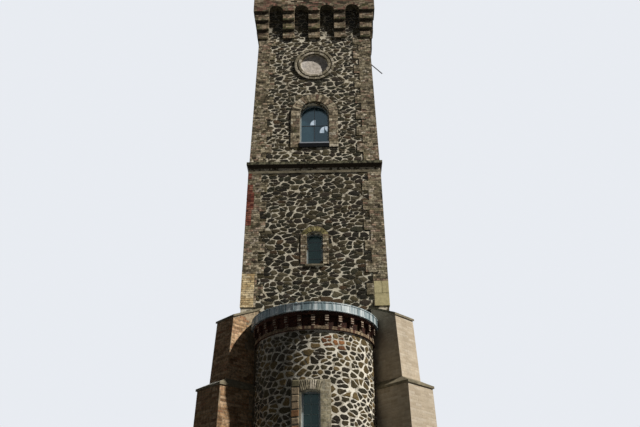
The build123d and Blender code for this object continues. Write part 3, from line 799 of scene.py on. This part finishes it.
def glass_finish(name, shine, tint, shades):
    """Dusty glass over a dark room, with a tinted shine."""
    finish = Finish(name, Specular_IOR_Level=shine, Specular_Tint=tint)
    dust = finish.noise(2.4, 5, 0.6)
    finish.set(Base_Color=finish.ramp(dust, *shades), Roughness=0.08 + dust * 0.2)
    finish.bump(finish.noise(1.3, 2), 0.004, 0.5)
    return finish.material


def reflection_patch_finish():
    """Mirror patches on the pane, brighter than it: painted reflections of the sky."""
    finish = Finish("painted_reflection_patches", Metallic=1.0, Roughness=0.25)
    cloud = finish.noise(6.0, 3).between(0.4, 0.6)
    finish.set(Base_Color=finish.mix(cloud, seen(170, 184, 192), seen(202, 212, 218)))
    return finish.material


def floor_finish():
    """Trowelled concrete floors."""
    finish = Finish("trowelled_concrete", Roughness=0.85)
    cloud = finish.noise(1.2, 6, 0.6)
    colour = finish.ramp(cloud, (0.3, 116, 112, 104), (0.7, 158, 154, 145))
    finish.set(Base_Color=finish.tone(colour, 0.85 + finish.noise(60.0, 2) * 0.3))
    finish.bump(cloud + finish.noise(30.0, 3) * 0.3, 0.004, 0.6)
    return finish.material


def iron_finish():
    """Dark weathered iron with rust."""
    finish = Finish("dark_weathered_iron", Metallic=0.2)
    rust = finish.noise(25.0, 5, 0.65).between(0.48, 0.66)
    finish.set(Base_Color=finish.mix(rust, seen(24, 22, 22), seen(58, 38, 28)), Roughness=0.6 + rust * 0.3)
    finish.bump(rust, 0.002, 0.6)
    return finish.material


# Shades of glass over its dust, and of stones and bricks over a block's tint, as (place, red, green, blue)
green_glass_shades = ((0.3, 28, 58, 60), (0.55, 44, 74, 76), (0.75, 62, 94, 96))
slate_glass_shades = ((0.3, 22, 42, 50), (0.55, 32, 54, 62), (0.75, 46, 68, 76))
stone_shades = ((0.0, 43, 39, 31), (0.16, 60, 56, 43), (0.32, 82, 72, 53), (0.48, 60, 59, 45), (0.62, 94, 85, 61),
                (0.76, 67, 58, 49), (0.86, 108, 99, 77), (0.96, 99, 79, 58))
bay_shades = ((0.0, 42, 36, 25), (0.18, 66, 58, 38), (0.36, 92, 78, 50), (0.52, 52, 48, 34), (0.66, 106, 90, 58),
              (0.8, 48, 40, 28), (0.93, 132, 112, 76))
orange_shades = ((0.0, 118, 78, 50), (0.5, 164, 112, 70), (1.0, 196, 150, 106))
yellow_shades = ((0.0, 72, 64, 51), (0.15, 122, 111, 89), (0.45, 160, 149, 124), (0.7, 198, 186, 160),
                 (0.85, 160, 130, 110), (0.95, 222, 211, 190), (1.0, 124, 112, 88))
warm_shades = ((0.0, 176, 148, 106), (0.5, 226, 202, 156), (1.0, 246, 228, 190))
bare_shades = ((0.0, 128, 98, 70), (0.4, 180, 146, 110), (0.75, 206, 176, 142), (1.0, 162, 118, 86))
red_shades = ((0.0, 98, 52, 44), (0.5, 144, 80, 66), (1.0, 176, 128, 106))
mottled_shades = ((0.0, 52, 47, 35), (0.25, 106, 94, 74), (0.5, 160, 142, 118), (0.66, 164, 124, 108),
                  (0.82, 104, 72, 60), (1.0, 216, 200, 172))
corbel_shades = ((0.0, 84, 74, 58), (0.25, 150, 134, 108), (0.5, 206, 186, 158), (0.7, 174, 148, 124),
                 (0.85, 108, 86, 70), (1.0, 236, 222, 196))
# The frieze's dark red-brown and its toned-down pale stripes hold painted shade under the fascia as well as the
# bricks' own colour.
frieze_shades = ((0.0, 34, 22, 18), (0.5, 60, 36, 28), (0.8, 88, 56, 44), (0.86, 132, 114, 92), (0.94, 166, 148, 122),
                 (0.96, 148, 134, 116), (1.0, 178, 166, 148))
surround_shades = ((0.0, 74, 66, 52), (0.2, 142, 128, 105), (0.45, 200, 188, 162), (0.6, 124, 100, 85),
                   (0.8, 172, 154, 130), (0.92, 228, 218, 196), (1.0, 104, 88, 68))
jamb_shades = ((0.0, 128, 122, 96), (0.35, 162, 146, 118), (0.6, 188, 168, 140), (0.85, 170, 144, 114),
               (1.0, 164, 118, 82))
disc_shades = ((0.0, 140, 126, 112), (0.25, 226, 216, 204), (0.7, 246, 240, 234), (1.0, 228, 206, 194))
olive_shades = ((0.0, 104, 98, 66), (0.5, 148, 138, 92), (1.0, 178, 166, 120))
limewash_shades = ((0.0, 184, 169, 147), (0.5, 199, 185, 163), (1.0, 206, 194, 175))
pale_shades = ((0.0, 136, 128, 108), (0.5, 172, 162, 138), (1.0, 216, 206, 188))
khaki_shades = ((0.0, 182, 171, 128), (1.0, 216, 205, 160))

mortar = mortar_finish()
wall_stone = stone_finish("dark_rubble_stone", stone_shades, seen(128, 122, 88), 0.15)
bay_stone = stone_finish("brown_rubble_stone", bay_shades, seen(142, 130, 96))
orange_stone = stone_finish("orange_bay_stone", orange_shades, seen(200, 160, 110))
quoin_brick = brick_finish("yellow_brick", yellow_shades, 0.35, dirt=0.38, mottling=1.7)
warm_brick = brick_finish("warm_yellow_brick", warm_shades, 0.1, dirt=0.08)
bare_brick = brick_finish("bare_orange_brick", bare_shades, 0.1, dirt=0.45)
bare_bed = brick_finish("bare_brick_bed", ((0.0, 120, 104, 84), (1.0, 176, 158, 132)), 0.1, True)
mottled_brick = brick_finish("mottled_brick", mottled_shades, 0.5, dirt=0.45)
corbel_brick = brick_finish("corbel_brick", corbel_shades, 0.5, dirt=0.5, mottling=1.5, tiers=True)
red_brick = brick_finish("old_red_brick", red_shades, 0.0)
olive_stone = brick_finish("olive_dressed_stone", olive_shades, 0.2, mottling=1.7)
disc_plaster = brick_finish("stained_white_plaster", disc_shades, 0.15, True, dirt=0.12, mottling=0.6)
khaki_render = brick_finish("khaki_render", khaki_shades, 0.1, dirt=0.2, mottling=0.35)
frieze_brick = brick_finish("dark_red_brick_with_painted_shade", frieze_shades, 0.1, mottling=1.5)
frieze_bed = brick_finish("dark_red_bed_with_painted_shade", frieze_shades[:3], 0.1, True)
jamb_stone = brick_finish("brown_jamb_stone", jamb_shades, 0.3)
jamb_bed = brick_finish("pale_jamb_bed", ((0.0, 140, 134, 114), (1.0, 184, 177, 158)), 0.1, True)
surround_brick = brick_finish("cream_and_pink_brick", surround_shades, 0.25, dirt=0.28, mottling=1.7)
limewashed_brick = brick_finish("limewashed_brick", limewash_shades, 0.0, dirt=0.28, mottling=0.22)
pale_stone = brick_finish("pale_dressed_stone", pale_shades, 0.2)
brick_bed = brick_finish("brick_bed_mortar", ((0.0, 84, 77, 60), (1.0, 150, 138, 114)), 0.2, True)
dressing = stone_dressing_finish("weathered_dressed_stone")
string_stone = stone_dressing_finish("banded_string_stone", True)
lime_render = render_finish()
zinc = zinc_finish()
paint = paint_finish("blue_grey_paint", seen(140, 152, 156))
dark_paint = paint_finish("dark_slate_paint", seen(34, 40, 44))
faint_paint = paint_finish("green_grey_paint", seen(84, 104, 102))
sill_paint = paint_finish("dark_sill_paint", seen(20, 21, 24), 0.15, 0.05,
                          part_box("upper_window_sills")[1].z - sill_edge)
glass = glass_finish("dusty_green_glass", 0.34, (0.78, 1.0, 0.98), green_glass_shades)
upper_glass = glass_finish("dusty_slate_glass", 0.9, (0.6, 0.86, 1.0), slate_glass_shades)
reflection_patch_material = reflection_patch_finish()
concrete = floor_finish()
iron = iron_finish()

SLOT_MATERIALS = {
    "rubble": mortar, "brick": brick_bed, "cut_stone": dressing, "render": lime_render, "zinc": zinc,
    "window_metal": paint, "window_glass": glass, "floor": concrete, "iron": iron,
}
NODE_MATERIALS = {
    "medallion_discs": disc_plaster, "string_course": string_stone, "upper_window_sills": sill_paint,
    "upper_window_glass": upper_glass, "bay_frieze": frieze_bed, "bay_window_surround": jamb_bed,
    "buttress_front_left": bare_bed, "buttress_back_left": bare_bed,
}


def dress_frame():
    """Gives each CAD node its own finish, or else that of its slot."""
    for part in frame["record"]["subparts"]:
        node = frame["nodes"][part["node"]]
        node.data.materials.clear()
        node.data.materials.append(NODE_MATERIALS.get(part["node"], SLOT_MATERIALS[part["material_slot"]]))


dress_frame()


def clear_of(outlines, half, low, high, middle=0.0):
    """True for stones whose middle isn't deep inside a rectangle."""
    margin = 0.1
    across, up = outlines.mean(axis=1).T
    return ~((np.abs(across - middle) < half - margin) & (up > low) & (up < high - margin))


def held_within(outlines, half, low, high):
    """The outlines with their points held between the corners and between two levels."""
    return np.clip(outlines, (-half, low), (half, high))


def held_below(outlines, half, level):
    """The outlines of stones whose middle is under a sill, held below it."""
    across, up = outlines[..., 0], outlines[..., 1]
    under = (up.mean(axis=1) < level)[:, None] & (np.abs(across) < half)
    return np.stack([across, np.where(under, np.minimum(up, level - 0.01), up)], axis=-1)


def lay_lower_wall(side, random):
    """Rubble of one side of the lower storey, between the quoins and buttresses."""
    face = front_plane(ground_half, lower_lean).sides()[side]
    stones = rubble(2 * ground_half, 0.0, quoin_top, stone_width, stone_height, lower_joint, random)
    stones = held_below(stones, middle_window_half + 0.03, middle_sill_level - thin_sill_height)
    across, up = stones.mean(axis=1).T
    covered = np.select([up < buttress_top - 0.1, up < quoin_foot + 0.1], [beside_buttress, beside_corner],
                        beside_quoin)
    keep = (np.abs(across) < ground_half - lower_lean * up - covered) & (up > 0.05) & (up < quoin_top - 0.04)
    keep &= clear_of(stones, middle_window_half + middle_band, middle_sill_level, middle_head + middle_band)
    if side == 0:
        keep &= clear_of(stones, bay_radius, -1.0, bay_wall_height + over_bay)
    if side == 2:
        keep &= clear_of(stones, doorway_half + doorway_band, -1.0, doorway_springing + over_doorway)
    pieces = Pieces()
    add_stones(pieces, face, held_within(stones[keep], ground_half - 0.12, 0.01, quoin_top), random)
    pieces.make(SIDES[side] + "_rubble_lower", wall_stone, "rubble")


def lay_upper_wall(side, random):
    """Rubble of one side of the upper storey, and of the wall in the corbels' gaps."""
    face = front_plane(upper_foot_half, upper_lean, string_level).sides()[side]
    stones = rubble(2 * upper_foot_half, string_level, corbel_level, stone_width, stone_height, stone_joint, random)
    under_sill = upper_sill_level - upper_sill_height
    stones = held_below(stones, upper_window_half, under_sill)
    across, up = stones.mean(axis=1).T
    edge = upper_foot_half - upper_lean * (up - string_level) - beside_quoin
    keep = (np.abs(across) < edge) & (up > string_top) & (up < corbel_level)
    keep &= clear_of(stones, upper_window_half + upper_band, under_sill, upper_springing + upper_window_half)
    if side == 0:
        keep &= np.hypot(across, up - medallion_level) > medallion_radius - 0.1
    pieces = Pieces()
    add_stones(pieces, face, held_within(stones[keep], wall_top_half - 0.1, string_top, corbel_level), random)
    half = corner_corbel_edge
    stones = rubble(2 * half, corbel_level, corbel_top + 0.28, stone_width, stone_height, stone_joint, random)
    across, up = stones.mean(axis=1).T
    keep = (np.abs(across) < half) & (up > corbel_level - 0.05) & (up < corbel_top + 0.25)
    stones = held_within(stones[keep], half + 0.1, corbel_level, corbel_top + 0.3)
    add_stones(pieces, front_plane(wall_top_half).sides()[side], stones, random)
    pieces.make(SIDES[side] + "_rubble_upper", wall_stone, "rubble")


def lay_bay(random):
    """Rubble of the round bay, round its window, with a patch of orange stones."""
    face = Round(bay_radius, bay_axis)
    half = pi / 2 * bay_radius
    stones = rubble(2 * half, 0.0, bay_wall_height, bay_stone_width, bay_stone_height, bay_stone_joint, random)
    across, up = stones.mean(axis=1).T
    keep = (np.abs(across) < half - 0.05) & (up > 0.08) & (up < bay_wall_height - 0.06)
    keep &= clear_of(stones, bay_window_half + bay_band, bay_surround_low, bay_springing + 0.33, bay_window_middle)
    stones = held_within(stones[keep], half, 0.01, bay_wall_height - 0.01)
    middle = stones.mean(axis=1)
    is_orange = ((middle > ORANGE_PATCH[0]) & (middle < ORANGE_PATCH[1])).all(axis=1)
    pieces, orange = Pieces(), Pieces()
    add_stones(pieces, face, stones[~is_orange], random)
    add_stones(orange, face, stones[is_orange], random)
    orange.make("bay_orange_stones", orange_stone, "rubble")
    pieces.make("bay_rubble", bay_stone, "rubble")


def lay_quoins(random):
    """The bricks on the toothed quoins of both storeys, five courses to a block, with the front corners' patches of
    red, pink and warm brick and of smooth render."""
    bricks, red, pink, warm, smooth = (Pieces() for _ in range(5))
    patches = ((red, RED_PATCHES), (pink, PINK_PATCHES), (warm, WARM_PATCHES), (smooth, SMOOTH_PATCHES))
    storeys = ((quoin_foot, quoin_top, ground_half, lower_lean, 0.0),
               (string_top, corbel_level, upper_foot_half, upper_lean, string_level))
    for low, high, foot_half, lean, level in storeys:
        step = (high - low) / round((high - low) / quoin_height)
        course = step / quoin_bricks_high
        corner = foot_half - lean * (high - level)
        plane = front_plane(foot_half + quoin_proud, lean, level)

        def outer_edge(up):
            return foot_half - lean * (up - level) + quoin_proud + brick_proud + brick_joint / 2

        def patches_on(where):
            """The patches of a corner in this storey: its pieces, its foot and top on the courses, and its width."""
            for pieces, given in patches:
                for patch_corner, foot, rows, width in given:
                    if patch_corner == where and low - 0.5 < foot < high:
                        foot = low + max(0, round((foot - low) / course)) * course
                        yield pieces, foot, foot + rows * course, width

        for side, face in enumerate(plane.sides()):
            first, second = (quoin_long, quoin_short) if side % 2 else (quoin_short, quoin_long)

            def inner_edge(up):
                return corner - np.where(np.floor((up - low) / step) % 2, second, first)

            for end in (1, -1):
                here = list(patches_on(CORNERS.get((side, end), 0)))

                def brick_edge(up):
                    return outer_edge(up) - sum(width * ((up > foot) & (up < top)) for _, foot, top, width in here)

                laid = courses(inner_edge, brick_edge, low, high, random, quoin_brick_length, course)
                add_bricks(bricks, face, at_end(end, laid), random)
                for pieces, foot, top, width in here:
                    block = (render_block_length, render_block_course) if pieces is smooth else (brick_length, course)
                    laid = courses(lambda up: outer_edge(up) - width, outer_edge, foot, top, random, *block)
                    add_bricks(pieces, face, at_end(end, laid), random, proud=patch_proud)
    red.make("quoin_red_bricks", red_brick, "brick")
    pink.make("quoin_pink_bricks", surround_brick, "brick")
    warm.make("quoin_warm_bricks", warm_brick, "brick")
    smooth.make("quoin_render_blocks", khaki_render, "brick")
    bricks.make("quoin_bricks", quoin_brick, "brick")


def lay_corbels(random):
    """The bricks of the corbels' three tiers."""
    pieces = Pieces()
    root, edge = wall_top_half, corner_corbel_edge
    for tier in range(3):
        reach = root + corbel_step * (tier + 1)
        low = corbel_level + corbel_tier * tier
        for side in range(4):
            for middle in (-corbel_pitch, 0.0, corbel_pitch):
                left, right = middle - corbel_half, middle + corbel_half
                path = [(left, -root), (left, -reach), (right, -reach), (right, -root)]
                brick_walls(pieces, path, low, low + corbel_tier, random, side)
            path = [(edge, -root), (edge, -reach), (reach, -reach), (reach, -edge), (root, -edge)]
            brick_walls(pieces, path, low, low + corbel_tier, random, side)
    pieces.make("corbel_bricks", corbel_brick, "brick")


def lay_parapet(random):
    """The bricks of the parapet inside and out, with a ring over each gap between corbels."""
    pieces = Pieces()
    gap_middles = corbel_pitch * (np.arange(4) - 1.5)
    for side, face in enumerate(front_plane(parapet_face).sides()):
        bricks = courses(-parapet_face, parapet_face, corbel_top, parapet_top, random)
        middle = bricks.mean(axis=1)
        away = np.hypot(middle[:, None, 0] - gap_middles, middle[:, None, 1] - corbel_top).min(axis=1)
        add_bricks(pieces, face, bricks[away > corbel_gap_half + gap_ring + 0.02], random)
        for gap in gap_middles:
            add_arch(pieces, face, corbel_gap_half, corbel_top, corbel_gap_half, gap_ring, gap_wedges, random, gap)
        inside = [(wall_top_half, -wall_top_half), (-wall_top_half, -wall_top_half)]
        brick_walls(pieces, inside, platform_top, parapet_top, random, side)
    pieces.make("parapet_bricks", mottled_brick, "brick")


def lay_merlons(random):
    """The bricks on every upright face of the merlons."""
    pieces = Pieces()
    pitch = 2 * parapet_face / 4
    inner, outer = wall_top_half, parapet_face
    for side in range(4):
        for left, right in ((crenel_half - pitch, -crenel_half), (crenel_half, pitch - crenel_half)):
            path = [(left, -inner), (left, -outer), (right, -outer), (right, -inner), (left, -inner)]
            brick_walls(pieces, path, parapet_top, merlon_top, random, side)
        end = pitch + crenel_half
        path = [(inner, -inner), (end, -inner), (end, -outer), (outer, -outer), (outer, -end), (inner, -end),
                (inner, -inner)]
        brick_walls(pieces, path, parapet_top, merlon_top, random, side)
    pieces.make("merlon_bricks", mottled_brick, "brick")


def lay_window_surrounds(random):
    """The bricks round the upper and middle windows: jambs, radial heads and the reveals."""
    pieces, olive = Pieces(), Pieces()
    kinds = (
        ("upper_window", upper_window_half, upper_band, upper_sill_level - upper_sill_height, upper_springing,
         upper_window_half, upper_wedges, upper_course, pieces),
        ("middle_window", middle_window_half, middle_band, middle_sill_level, middle_springing,
         middle_rise, middle_wedges, brick_course, olive),
    )
    for name, half, band, low, springing, rise, wedges, course, head in kinds:
        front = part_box(name + "_surrounds")[1].x
        frame_low, frame_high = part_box(name + "_frames")
        back = frame_high.x
        for side, face in enumerate(front_plane(front).sides()):
            add_jambs(pieces, face, half, band, low, springing, random, course)
            add_arch(head, face, half, springing, rise, band, wedges, random)
            for path in ([(-half, -front), (-half, -back)], [(half, -back), (half, -front)]):
                brick_walls(pieces, path, frame_low.z, springing, random, side, proud=reveal_proud)
    olive.make("middle_window_heads", olive_stone, "brick")
    pieces.make("window_surround_bricks", surround_brick, "brick")


def lay_doorway(random):
    """The bricks round the doorway in the back wall."""
    pieces = Pieces()
    face = front_plane(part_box("doorway_surround")[1].y).sides()[2]
    add_jambs(pieces, face, doorway_half, doorway_band, lowest_brick, doorway_springing, random)
    add_arch(pieces, face, doorway_half, doorway_springing, doorway_half, doorway_band, doorway_wedges, random)
    pieces.make("doorway_bricks", surround_brick, "brick")


def lay_bay_window(random):
    """The dressings round the bay's window: small pale stones on the right, one column of brown ones on the left,
    a sill, and a narrow flat arch with a pale keystone."""
    grey, brown = Pieces(), Pieces()
    face = Round(bay_radius + bay_surround_proud, bay_axis)
    half, outer_half = bay_window_half, bay_window_half + bay_band
    top = bay_springing + bay_rise + bay_band
    middle = (bay_window_middle, 0)
    beside = courses(half, outer_half, bay_sill, bay_springing + 0.04, random, *JAMB_STONE, pale_joint)
    above = courses(bay_arch_half, outer_half, bay_springing + 0.05, top, random, *ARCH_STONE, pale_joint)
    stones = np.concatenate([beside, above])
    stones += random.uniform(-0.006, 0.006, stones.shape)
    add_bricks(grey, face, stones + middle, random, proud=0.002, chamfer=0.006, tint=(0.0, 0.5))
    column = courses(half + 0.05, outer_half, bay_sill, top, random, *BROWN_STONE, brown_joint)
    column += random.uniform(-0.012, 0.012, column.shape)
    add_bricks(brown, face, at_end(-1, column) + middle, random, proud=0.012, chamfer=0.015)
    sill = rectangles(-outer_half, outer_half, bay_surround_low, bay_sill - 0.008) + middle
    add_bricks(grey, face, sill, random, proud=0.02, chamfer=0.015)
    inner = head_arc(half, bay_springing, bay_rise, bay_window_middle)
    outer = head_arc(bay_arch_half, top - 0.03, 0.02, bay_window_middle)
    wedges = voussoirs(inner, outer, bay_arch_wedges, pale_joint)
    is_key = np.isin(np.arange(bay_arch_wedges), KEYSTONE_WEDGES)
    add_bricks(grey, face, wedges[~is_key], random, proud=0.012, chamfer=0.012, tint=(0.0, 0.5))
    add_bricks(grey, face, wedges[is_key], random, proud=0.016, chamfer=0.012, tint=(1.0, 1.0))
    brown.make("bay_window_brown_stones", jamb_stone, "cut_stone")
    grey.make("bay_window_stones", pale_stone, "cut_stone")


def ramp_line(projection):
    """The level of a buttress under its ramp's coping."""
    return buttress_top - ramp_coping + (buttress_top_reach - projection) * tan(radians(ramp_degrees))


def lay_buttresses(random):
    """The bricks of the buttresses' ends and sides: bare on the left of the tower, and faint under limewash on its
    right. Each stage leans in as it rises, and its bricks stop under the ramp and at the round bay."""
    corner = ground_half - lower_lean * buttress_top
    stages = (
        (lowest_brick, buttress_step, buttress_foot_reach, buttress_step_reach,
         buttress_foot_half, buttress_step_half),
        (buttress_shoulder, buttress_top + ramp_rise, buttress_shoulder_reach, buttress_top_reach,
         buttress_shoulder_half, buttress_shoulder_half),
    )
    washed, bare = Pieces(), Pieces()
    diagonal = 2 ** -0.5
    outward = np.array((diagonal, -diagonal, 0))
    sideways = np.array((diagonal, diagonal, 0))
    upward = np.array((0, 0, 1))
    base = np.array((corner, -corner, 0))
    for low, high, low_reach, high_reach, low_half, high_half in stages:
        top = min(high, buttress_top)
        lean = (low_reach - high_reach) / (top - low)
        side_lean = (low_half - high_half) / (top - low)

        def reach(up):
            return low_reach - lean * (up - low)

        def half(up):
            return low_half - side_lean * (up - low)

        end = Flat(base + outward * reach(0.0), sideways, upward - lean * outward, outward)
        right = Flat(base + sideways * half(0.0), -outward, upward - side_lean * sideways, sideways)
        left = Flat(base - sideways * half(0.0), outward, upward + side_lean * sideways, -sideways)
        for turn in range(4):
            pieces, proud = (washed, washed_proud) if turn < 2 else (bare, bare_proud)
            bricks = courses(lambda up: -half(up), half, low, top, random)
            if high > buttress_top:
                bricks = bricks[bricks[..., 1].max(axis=1) < ramp_line(buttress_top_reach) + 0.03]
            add_bricks(pieces, end.turned(90 * turn), bricks, random, proud=proud)
            for face, hand in ((right, -1), (left, 1)):
                bricks = courses(lambda up: 0.1 - half(up), reach, low, high, random)
                bricks = bricks[bricks[..., 1].max(axis=1) < ramp_line(bricks[..., 0].max(axis=1))]
                bricks = at_end(hand, bricks)
                face = face.turned(90 * turn)
                spots = face.place(bricks[..., 0], bricks[..., 1], 0.0)
                away = np.hypot(spots[..., 0], spots[..., 1] - bay_axis).min(axis=1)
                clear = np.where(spots[..., 2].max(axis=1) < bay_wall_height, bay_radius, fascia_radius + 0.01)
                outside = (away > clear) | (spots[..., 1].min(axis=1) > bay_axis)
                add_bricks(pieces, face, bricks[outside], random, proud=proud)
    bare.make("buttress_bare_bricks", bare_brick, "render")
    washed.make("buttress_bricks", limewashed_brick, "render")


def lay_frieze(random):
    """The bricks of the bay's pale moulding, the frieze and cap in dark red brick darkened further by painted shade
    under the fascia, and the pale courses that stripe the dentils.
    """
    pieces = Pieces()
    dark, pale, palest = (0.0, 0.75), (0.84, 0.94), (0.96, 1.0)
    for proud, bottom, top, tint in (
            (moulding_proud, bay_wall_height, moulding_top, pale),
            (0.0, moulding_top, frieze_top, dark),
            (dentil_proud, frieze_top, cap_top, dark)):
        radius = bay_radius + proud
        half = frieze_half_turn * radius
        bricks = courses(-half, half, bottom, top, random, course=frieze_course)
        add_bricks(pieces, Round(radius, bay_axis), bricks, random, tint=tint)
    for proud, bottom, count in ((moulding_proud, moulding_stripes, 2), (dentil_proud, dentil_stripes, 3)):
        radius = bay_radius + proud
        middle = np.radians(dentil_degrees) * (np.arange(dentil_count) - dentil_count // 2) * radius
        foot = bottom + stripe_pitch * np.arange(count)[:, None]
        stripes = rectangles(middle - dentil_half, middle + dentil_half, foot, foot + stripe_height)
        add_bricks(pieces, Round(radius, bay_axis), stripes, random, tint=palest)
    pieces.make("frieze_bricks", frieze_brick, "brick")


def seam_bay():
    """The zinc's standing seams: upright ones and beads on the fascia, and one along each arris of the roof."""
    pieces = Pieces()
    radius = fascia_radius
    face = Round(radius, bay_axis)
    middle = np.arange(-fascia_seams_beside, fascia_seams_beside + 1) * radius * fascia_seam_turn
    seams = rectangles(middle - seam_half, middle + seam_half, fascia_low + 0.02, fascia_top - 0.02)
    pieces.raise_bars(face, seams, 0.002, seam_proud)
    edge = np.linspace(-fascia_half_turn, fascia_half_turn, bead_count + 1) * radius
    for bottom, top in ((fascia_low - 0.004, fascia_low + 0.022), (fascia_top - 0.022, fascia_top + 0.006)):
        pieces.raise_bars(face, rectangles(edge[:-1], edge[1:], bottom, top), 0.004, bead_proud)
    rise = roof_top - fascia_top
    slope = np.hypot(rise, radius)
    for turn in range(-roof_seams_beside, roof_seams_beside + 1):
        angle = radians(roof_tray_degrees * turn)
        along = np.array((sin(angle), -cos(angle), 0))
        across = np.array((cos(angle), sin(angle), 0))
        up = -(along * radius - np.array((0, 0, rise))) / slope
        arris = Flat((0, bay_axis, roof_top), across, up, np.cross(across, up))
        foot, top = (rectangles(-half, half, -slope + 0.03, -0.06) for half in roof_seam_halves)
        pieces.raise_blocks(arris, [(foot, -0.01), (top, roof_seam_proud)])
    pieces.make("zinc_seams", zinc, "zinc")


def bar_windows():
    """The thin glazing bars: a cross in each upper window, three level ones in each middle window, and pale ones in
    five rows in the bay's."""
    pieces, pale = Pieces(), Pieces()
    inner, bar = upper_window_half - frame_width, upper_bar
    upright = rectangles(-bar, bar, upper_sill_level + frame_width, upper_springing + inner)
    level = rectangles(-inner, inner, upper_bar_level - bar, upper_bar_level + bar)
    inner = middle_window_half - frame_width
    rows = middle_sill_level + (middle_head - middle_sill_level) * np.arange(1, 4) / 4
    thin = rectangles(-inner, inner, rows - thin_bar, rows + thin_bar)
    upper, middle = (front_plane(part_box(name + "_window_frames")[1].x - glazing_depth).sides()
                     for name in ("upper", "middle"))
    for upper_face, middle_face in zip(upper, middle):
        pieces.raise_bars(upper_face, upright, bar_depth, bar_depth)
        pieces.raise_bars(upper_face, level, bar_depth, bar_depth)
        pieces.raise_bars(middle_face, thin, middle_bar_depth, middle_bar_depth)
    front = bay_radius - bay_reveal - glazing_depth
    face = Flat((bay_window_middle, bay_axis - front, 0), (1, 0, 0), (0, 0, 1), (0, -1, 0))
    inner = bay_window_half - frame_width
    rows = bay_sill + (bay_springing - bay_sill) * np.arange(1, 6) / 6
    bars = np.concatenate([rectangles(-thin_bar, thin_bar, bay_sill + frame_width, bay_springing),
                           rectangles(-inner, inner, rows - thin_bar, rows + thin_bar)])
    pale.raise_bars(face, bars, bar_depth, bar_depth)
    pale.make("bay_glazing_bars", faint_paint, "window_metal")
    pieces.make("glazing_bars", dark_paint, "window_metal")


def paint_pane_reflections():
    """Three mirror patches on the front upper window's glass, painted reflections of the sky, by the crossing of its
    bars and at its right edge: each is an ellipse's quarter, given by its corner and its two reaches."""
    pieces = Pieces()
    face = front_plane(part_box("upper_window_glass")[1].x)
    turn = np.linspace(0, pi / 2, 7)
    quarter = np.stack([np.append(-np.sin(turn), 0.0), np.append(np.cos(turn), 0.0)], axis=-1)[::-1]
    for corner, reach in REFLECTION_PATCHES:
        outline = (np.array(corner) + quarter * reach)[None]
        outline = outline if polygon_area(outline)[0] > 0 else outline[:, ::-1]
        # Each patch is a flat mirror on the pane: a painted reflection of the sky.
        pieces.raise_bars(face, outline, 0.002, 0.003)
    pieces.make("upper_window_painted_reflections", reflection_patch_material, "window_glass")


def ring_medallion(random):
    """The medallion's two rings as curved stones with rounded edges."""
    pieces = Pieces()
    face = front_plane(-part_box("medallion_rings")[0].y)
    for inner_radius, outer_radius, count in MEDALLION_RINGS:
        def circle(radius):
            return lambda share: (radius * np.sin(2 * pi * share), medallion_level + radius * np.cos(2 * pi * share))
        stones = voussoirs(circle(inner_radius), circle(outer_radius), count, ring_joint)
        add_bricks(pieces, face, stones, random, proud=0.012, chamfer=0.014)
    pieces.make("medallion_stones", pale_stone, "cut_stone")


for wall_side in range(4):
    lay_lower_wall(wall_side, np.random.default_rng(11 + wall_side))
    lay_upper_wall(wall_side, np.random.default_rng(21 + wall_side))
for seed, lay in enumerate((lay_bay, lay_quoins, lay_corbels, lay_parapet, lay_merlons, lay_window_surrounds,
                            lay_doorway, lay_bay_window, lay_buttresses, lay_frieze, ring_medallion), 31):
    lay(np.random.default_rng(seed))
seam_bay()
bar_windows()
paint_pane_reflections()


def add_camera():
    """The camera, from its place, tilt, yaw and roll."""
    ahead = Vector((-sin(camera_yaw), cos(camera_yaw), 0))
    forward = ahead * cos(camera_tilt) + Vector((0, 0, sin(camera_tilt)))
    level_up = Vector((0, 0, cos(camera_tilt))) - ahead * sin(camera_tilt)
    level_right = Vector((cos(camera_yaw), sin(camera_yaw), 0))
    right = level_right * cos(camera_roll) + level_up * sin(camera_roll)
    up = level_up * cos(camera_roll) - level_right * sin(camera_roll)
    data = bpy.data.cameras.new("photo_view")
    data.sensor_width = sensor_width
    data.lens = focal_pixels / image_width * sensor_width
    data.clip_end = 500
    camera = add_object("photo_view", data)
    turn = Matrix((right, up, -forward)).transposed().to_4x4()
    camera.matrix_world = Matrix.Translation(camera_place) @ turn
    bpy.context.scene.camera = camera


def add_sun(name, azimuth, height, strength, softness, colour):
    """A sun that shines from an azimuth (0 from the front, 90 from the right) and a height, both in degrees."""
    data = bpy.data.lights.new(name, "SUN")
    data.energy, data.angle, data.color = strength, radians(softness), colour
    around, up = radians(azimuth), radians(height)
    toward = Vector((sin(around) * cos(up), -cos(around) * cos(up), sin(up)))
    add_object(name, data).rotation_euler = toward.to_track_quat("Z", "Y").to_euler()


def background_share(tree):
    """1 where the camera sees the background, straight, in a reflection or through glass, and 0 for its light."""
    path = tree.nodes.new("ShaderNodeLightPath")
    rays = [Shade(tree, path.outputs[name]) for name in ("Is Camera Ray", "Is Glossy Ray", "Is Transmission Ray")]
    return (rays[0] + rays[1] + rays[2]).clamped()


def add_stage():
    """A pale floor, and a pale world that fills the shadows softly."""
    finish = Finish("pale_floor", Roughness=0.9)
    finish.set(Base_Color=finish.mix(background_share(finish.tree), floor_lighting, floor_looks))
    mesh = bpy.data.meshes.new("floor")
    mesh.from_pydata([(x * floor_half, y * floor_half, 0) for x, y in ((-1, -1), (1, -1), (1, 1), (-1, 1))], [],
                     [(0, 1, 2, 3)])
    mesh.materials.append(finish.material)
    add_object("floor", mesh)
    world = bpy.data.worlds.new("pale_surround")
    world.use_nodes = True
    bpy.context.scene.world = world
    tree = world.node_tree
    background = tree.nodes["Background"]
    put(tree, background.inputs["Color"], surround_colour)
    put(tree, background.inputs["Strength"], surround_lighting + background_share(tree) * surround_added)


add_camera()
add_stage()
add_sun("key_sun", *KEY_SUN)
add_sun("back_fill", *BACK_FILL)
bpy.context.scene.view_settings.view_transform = "Standard"
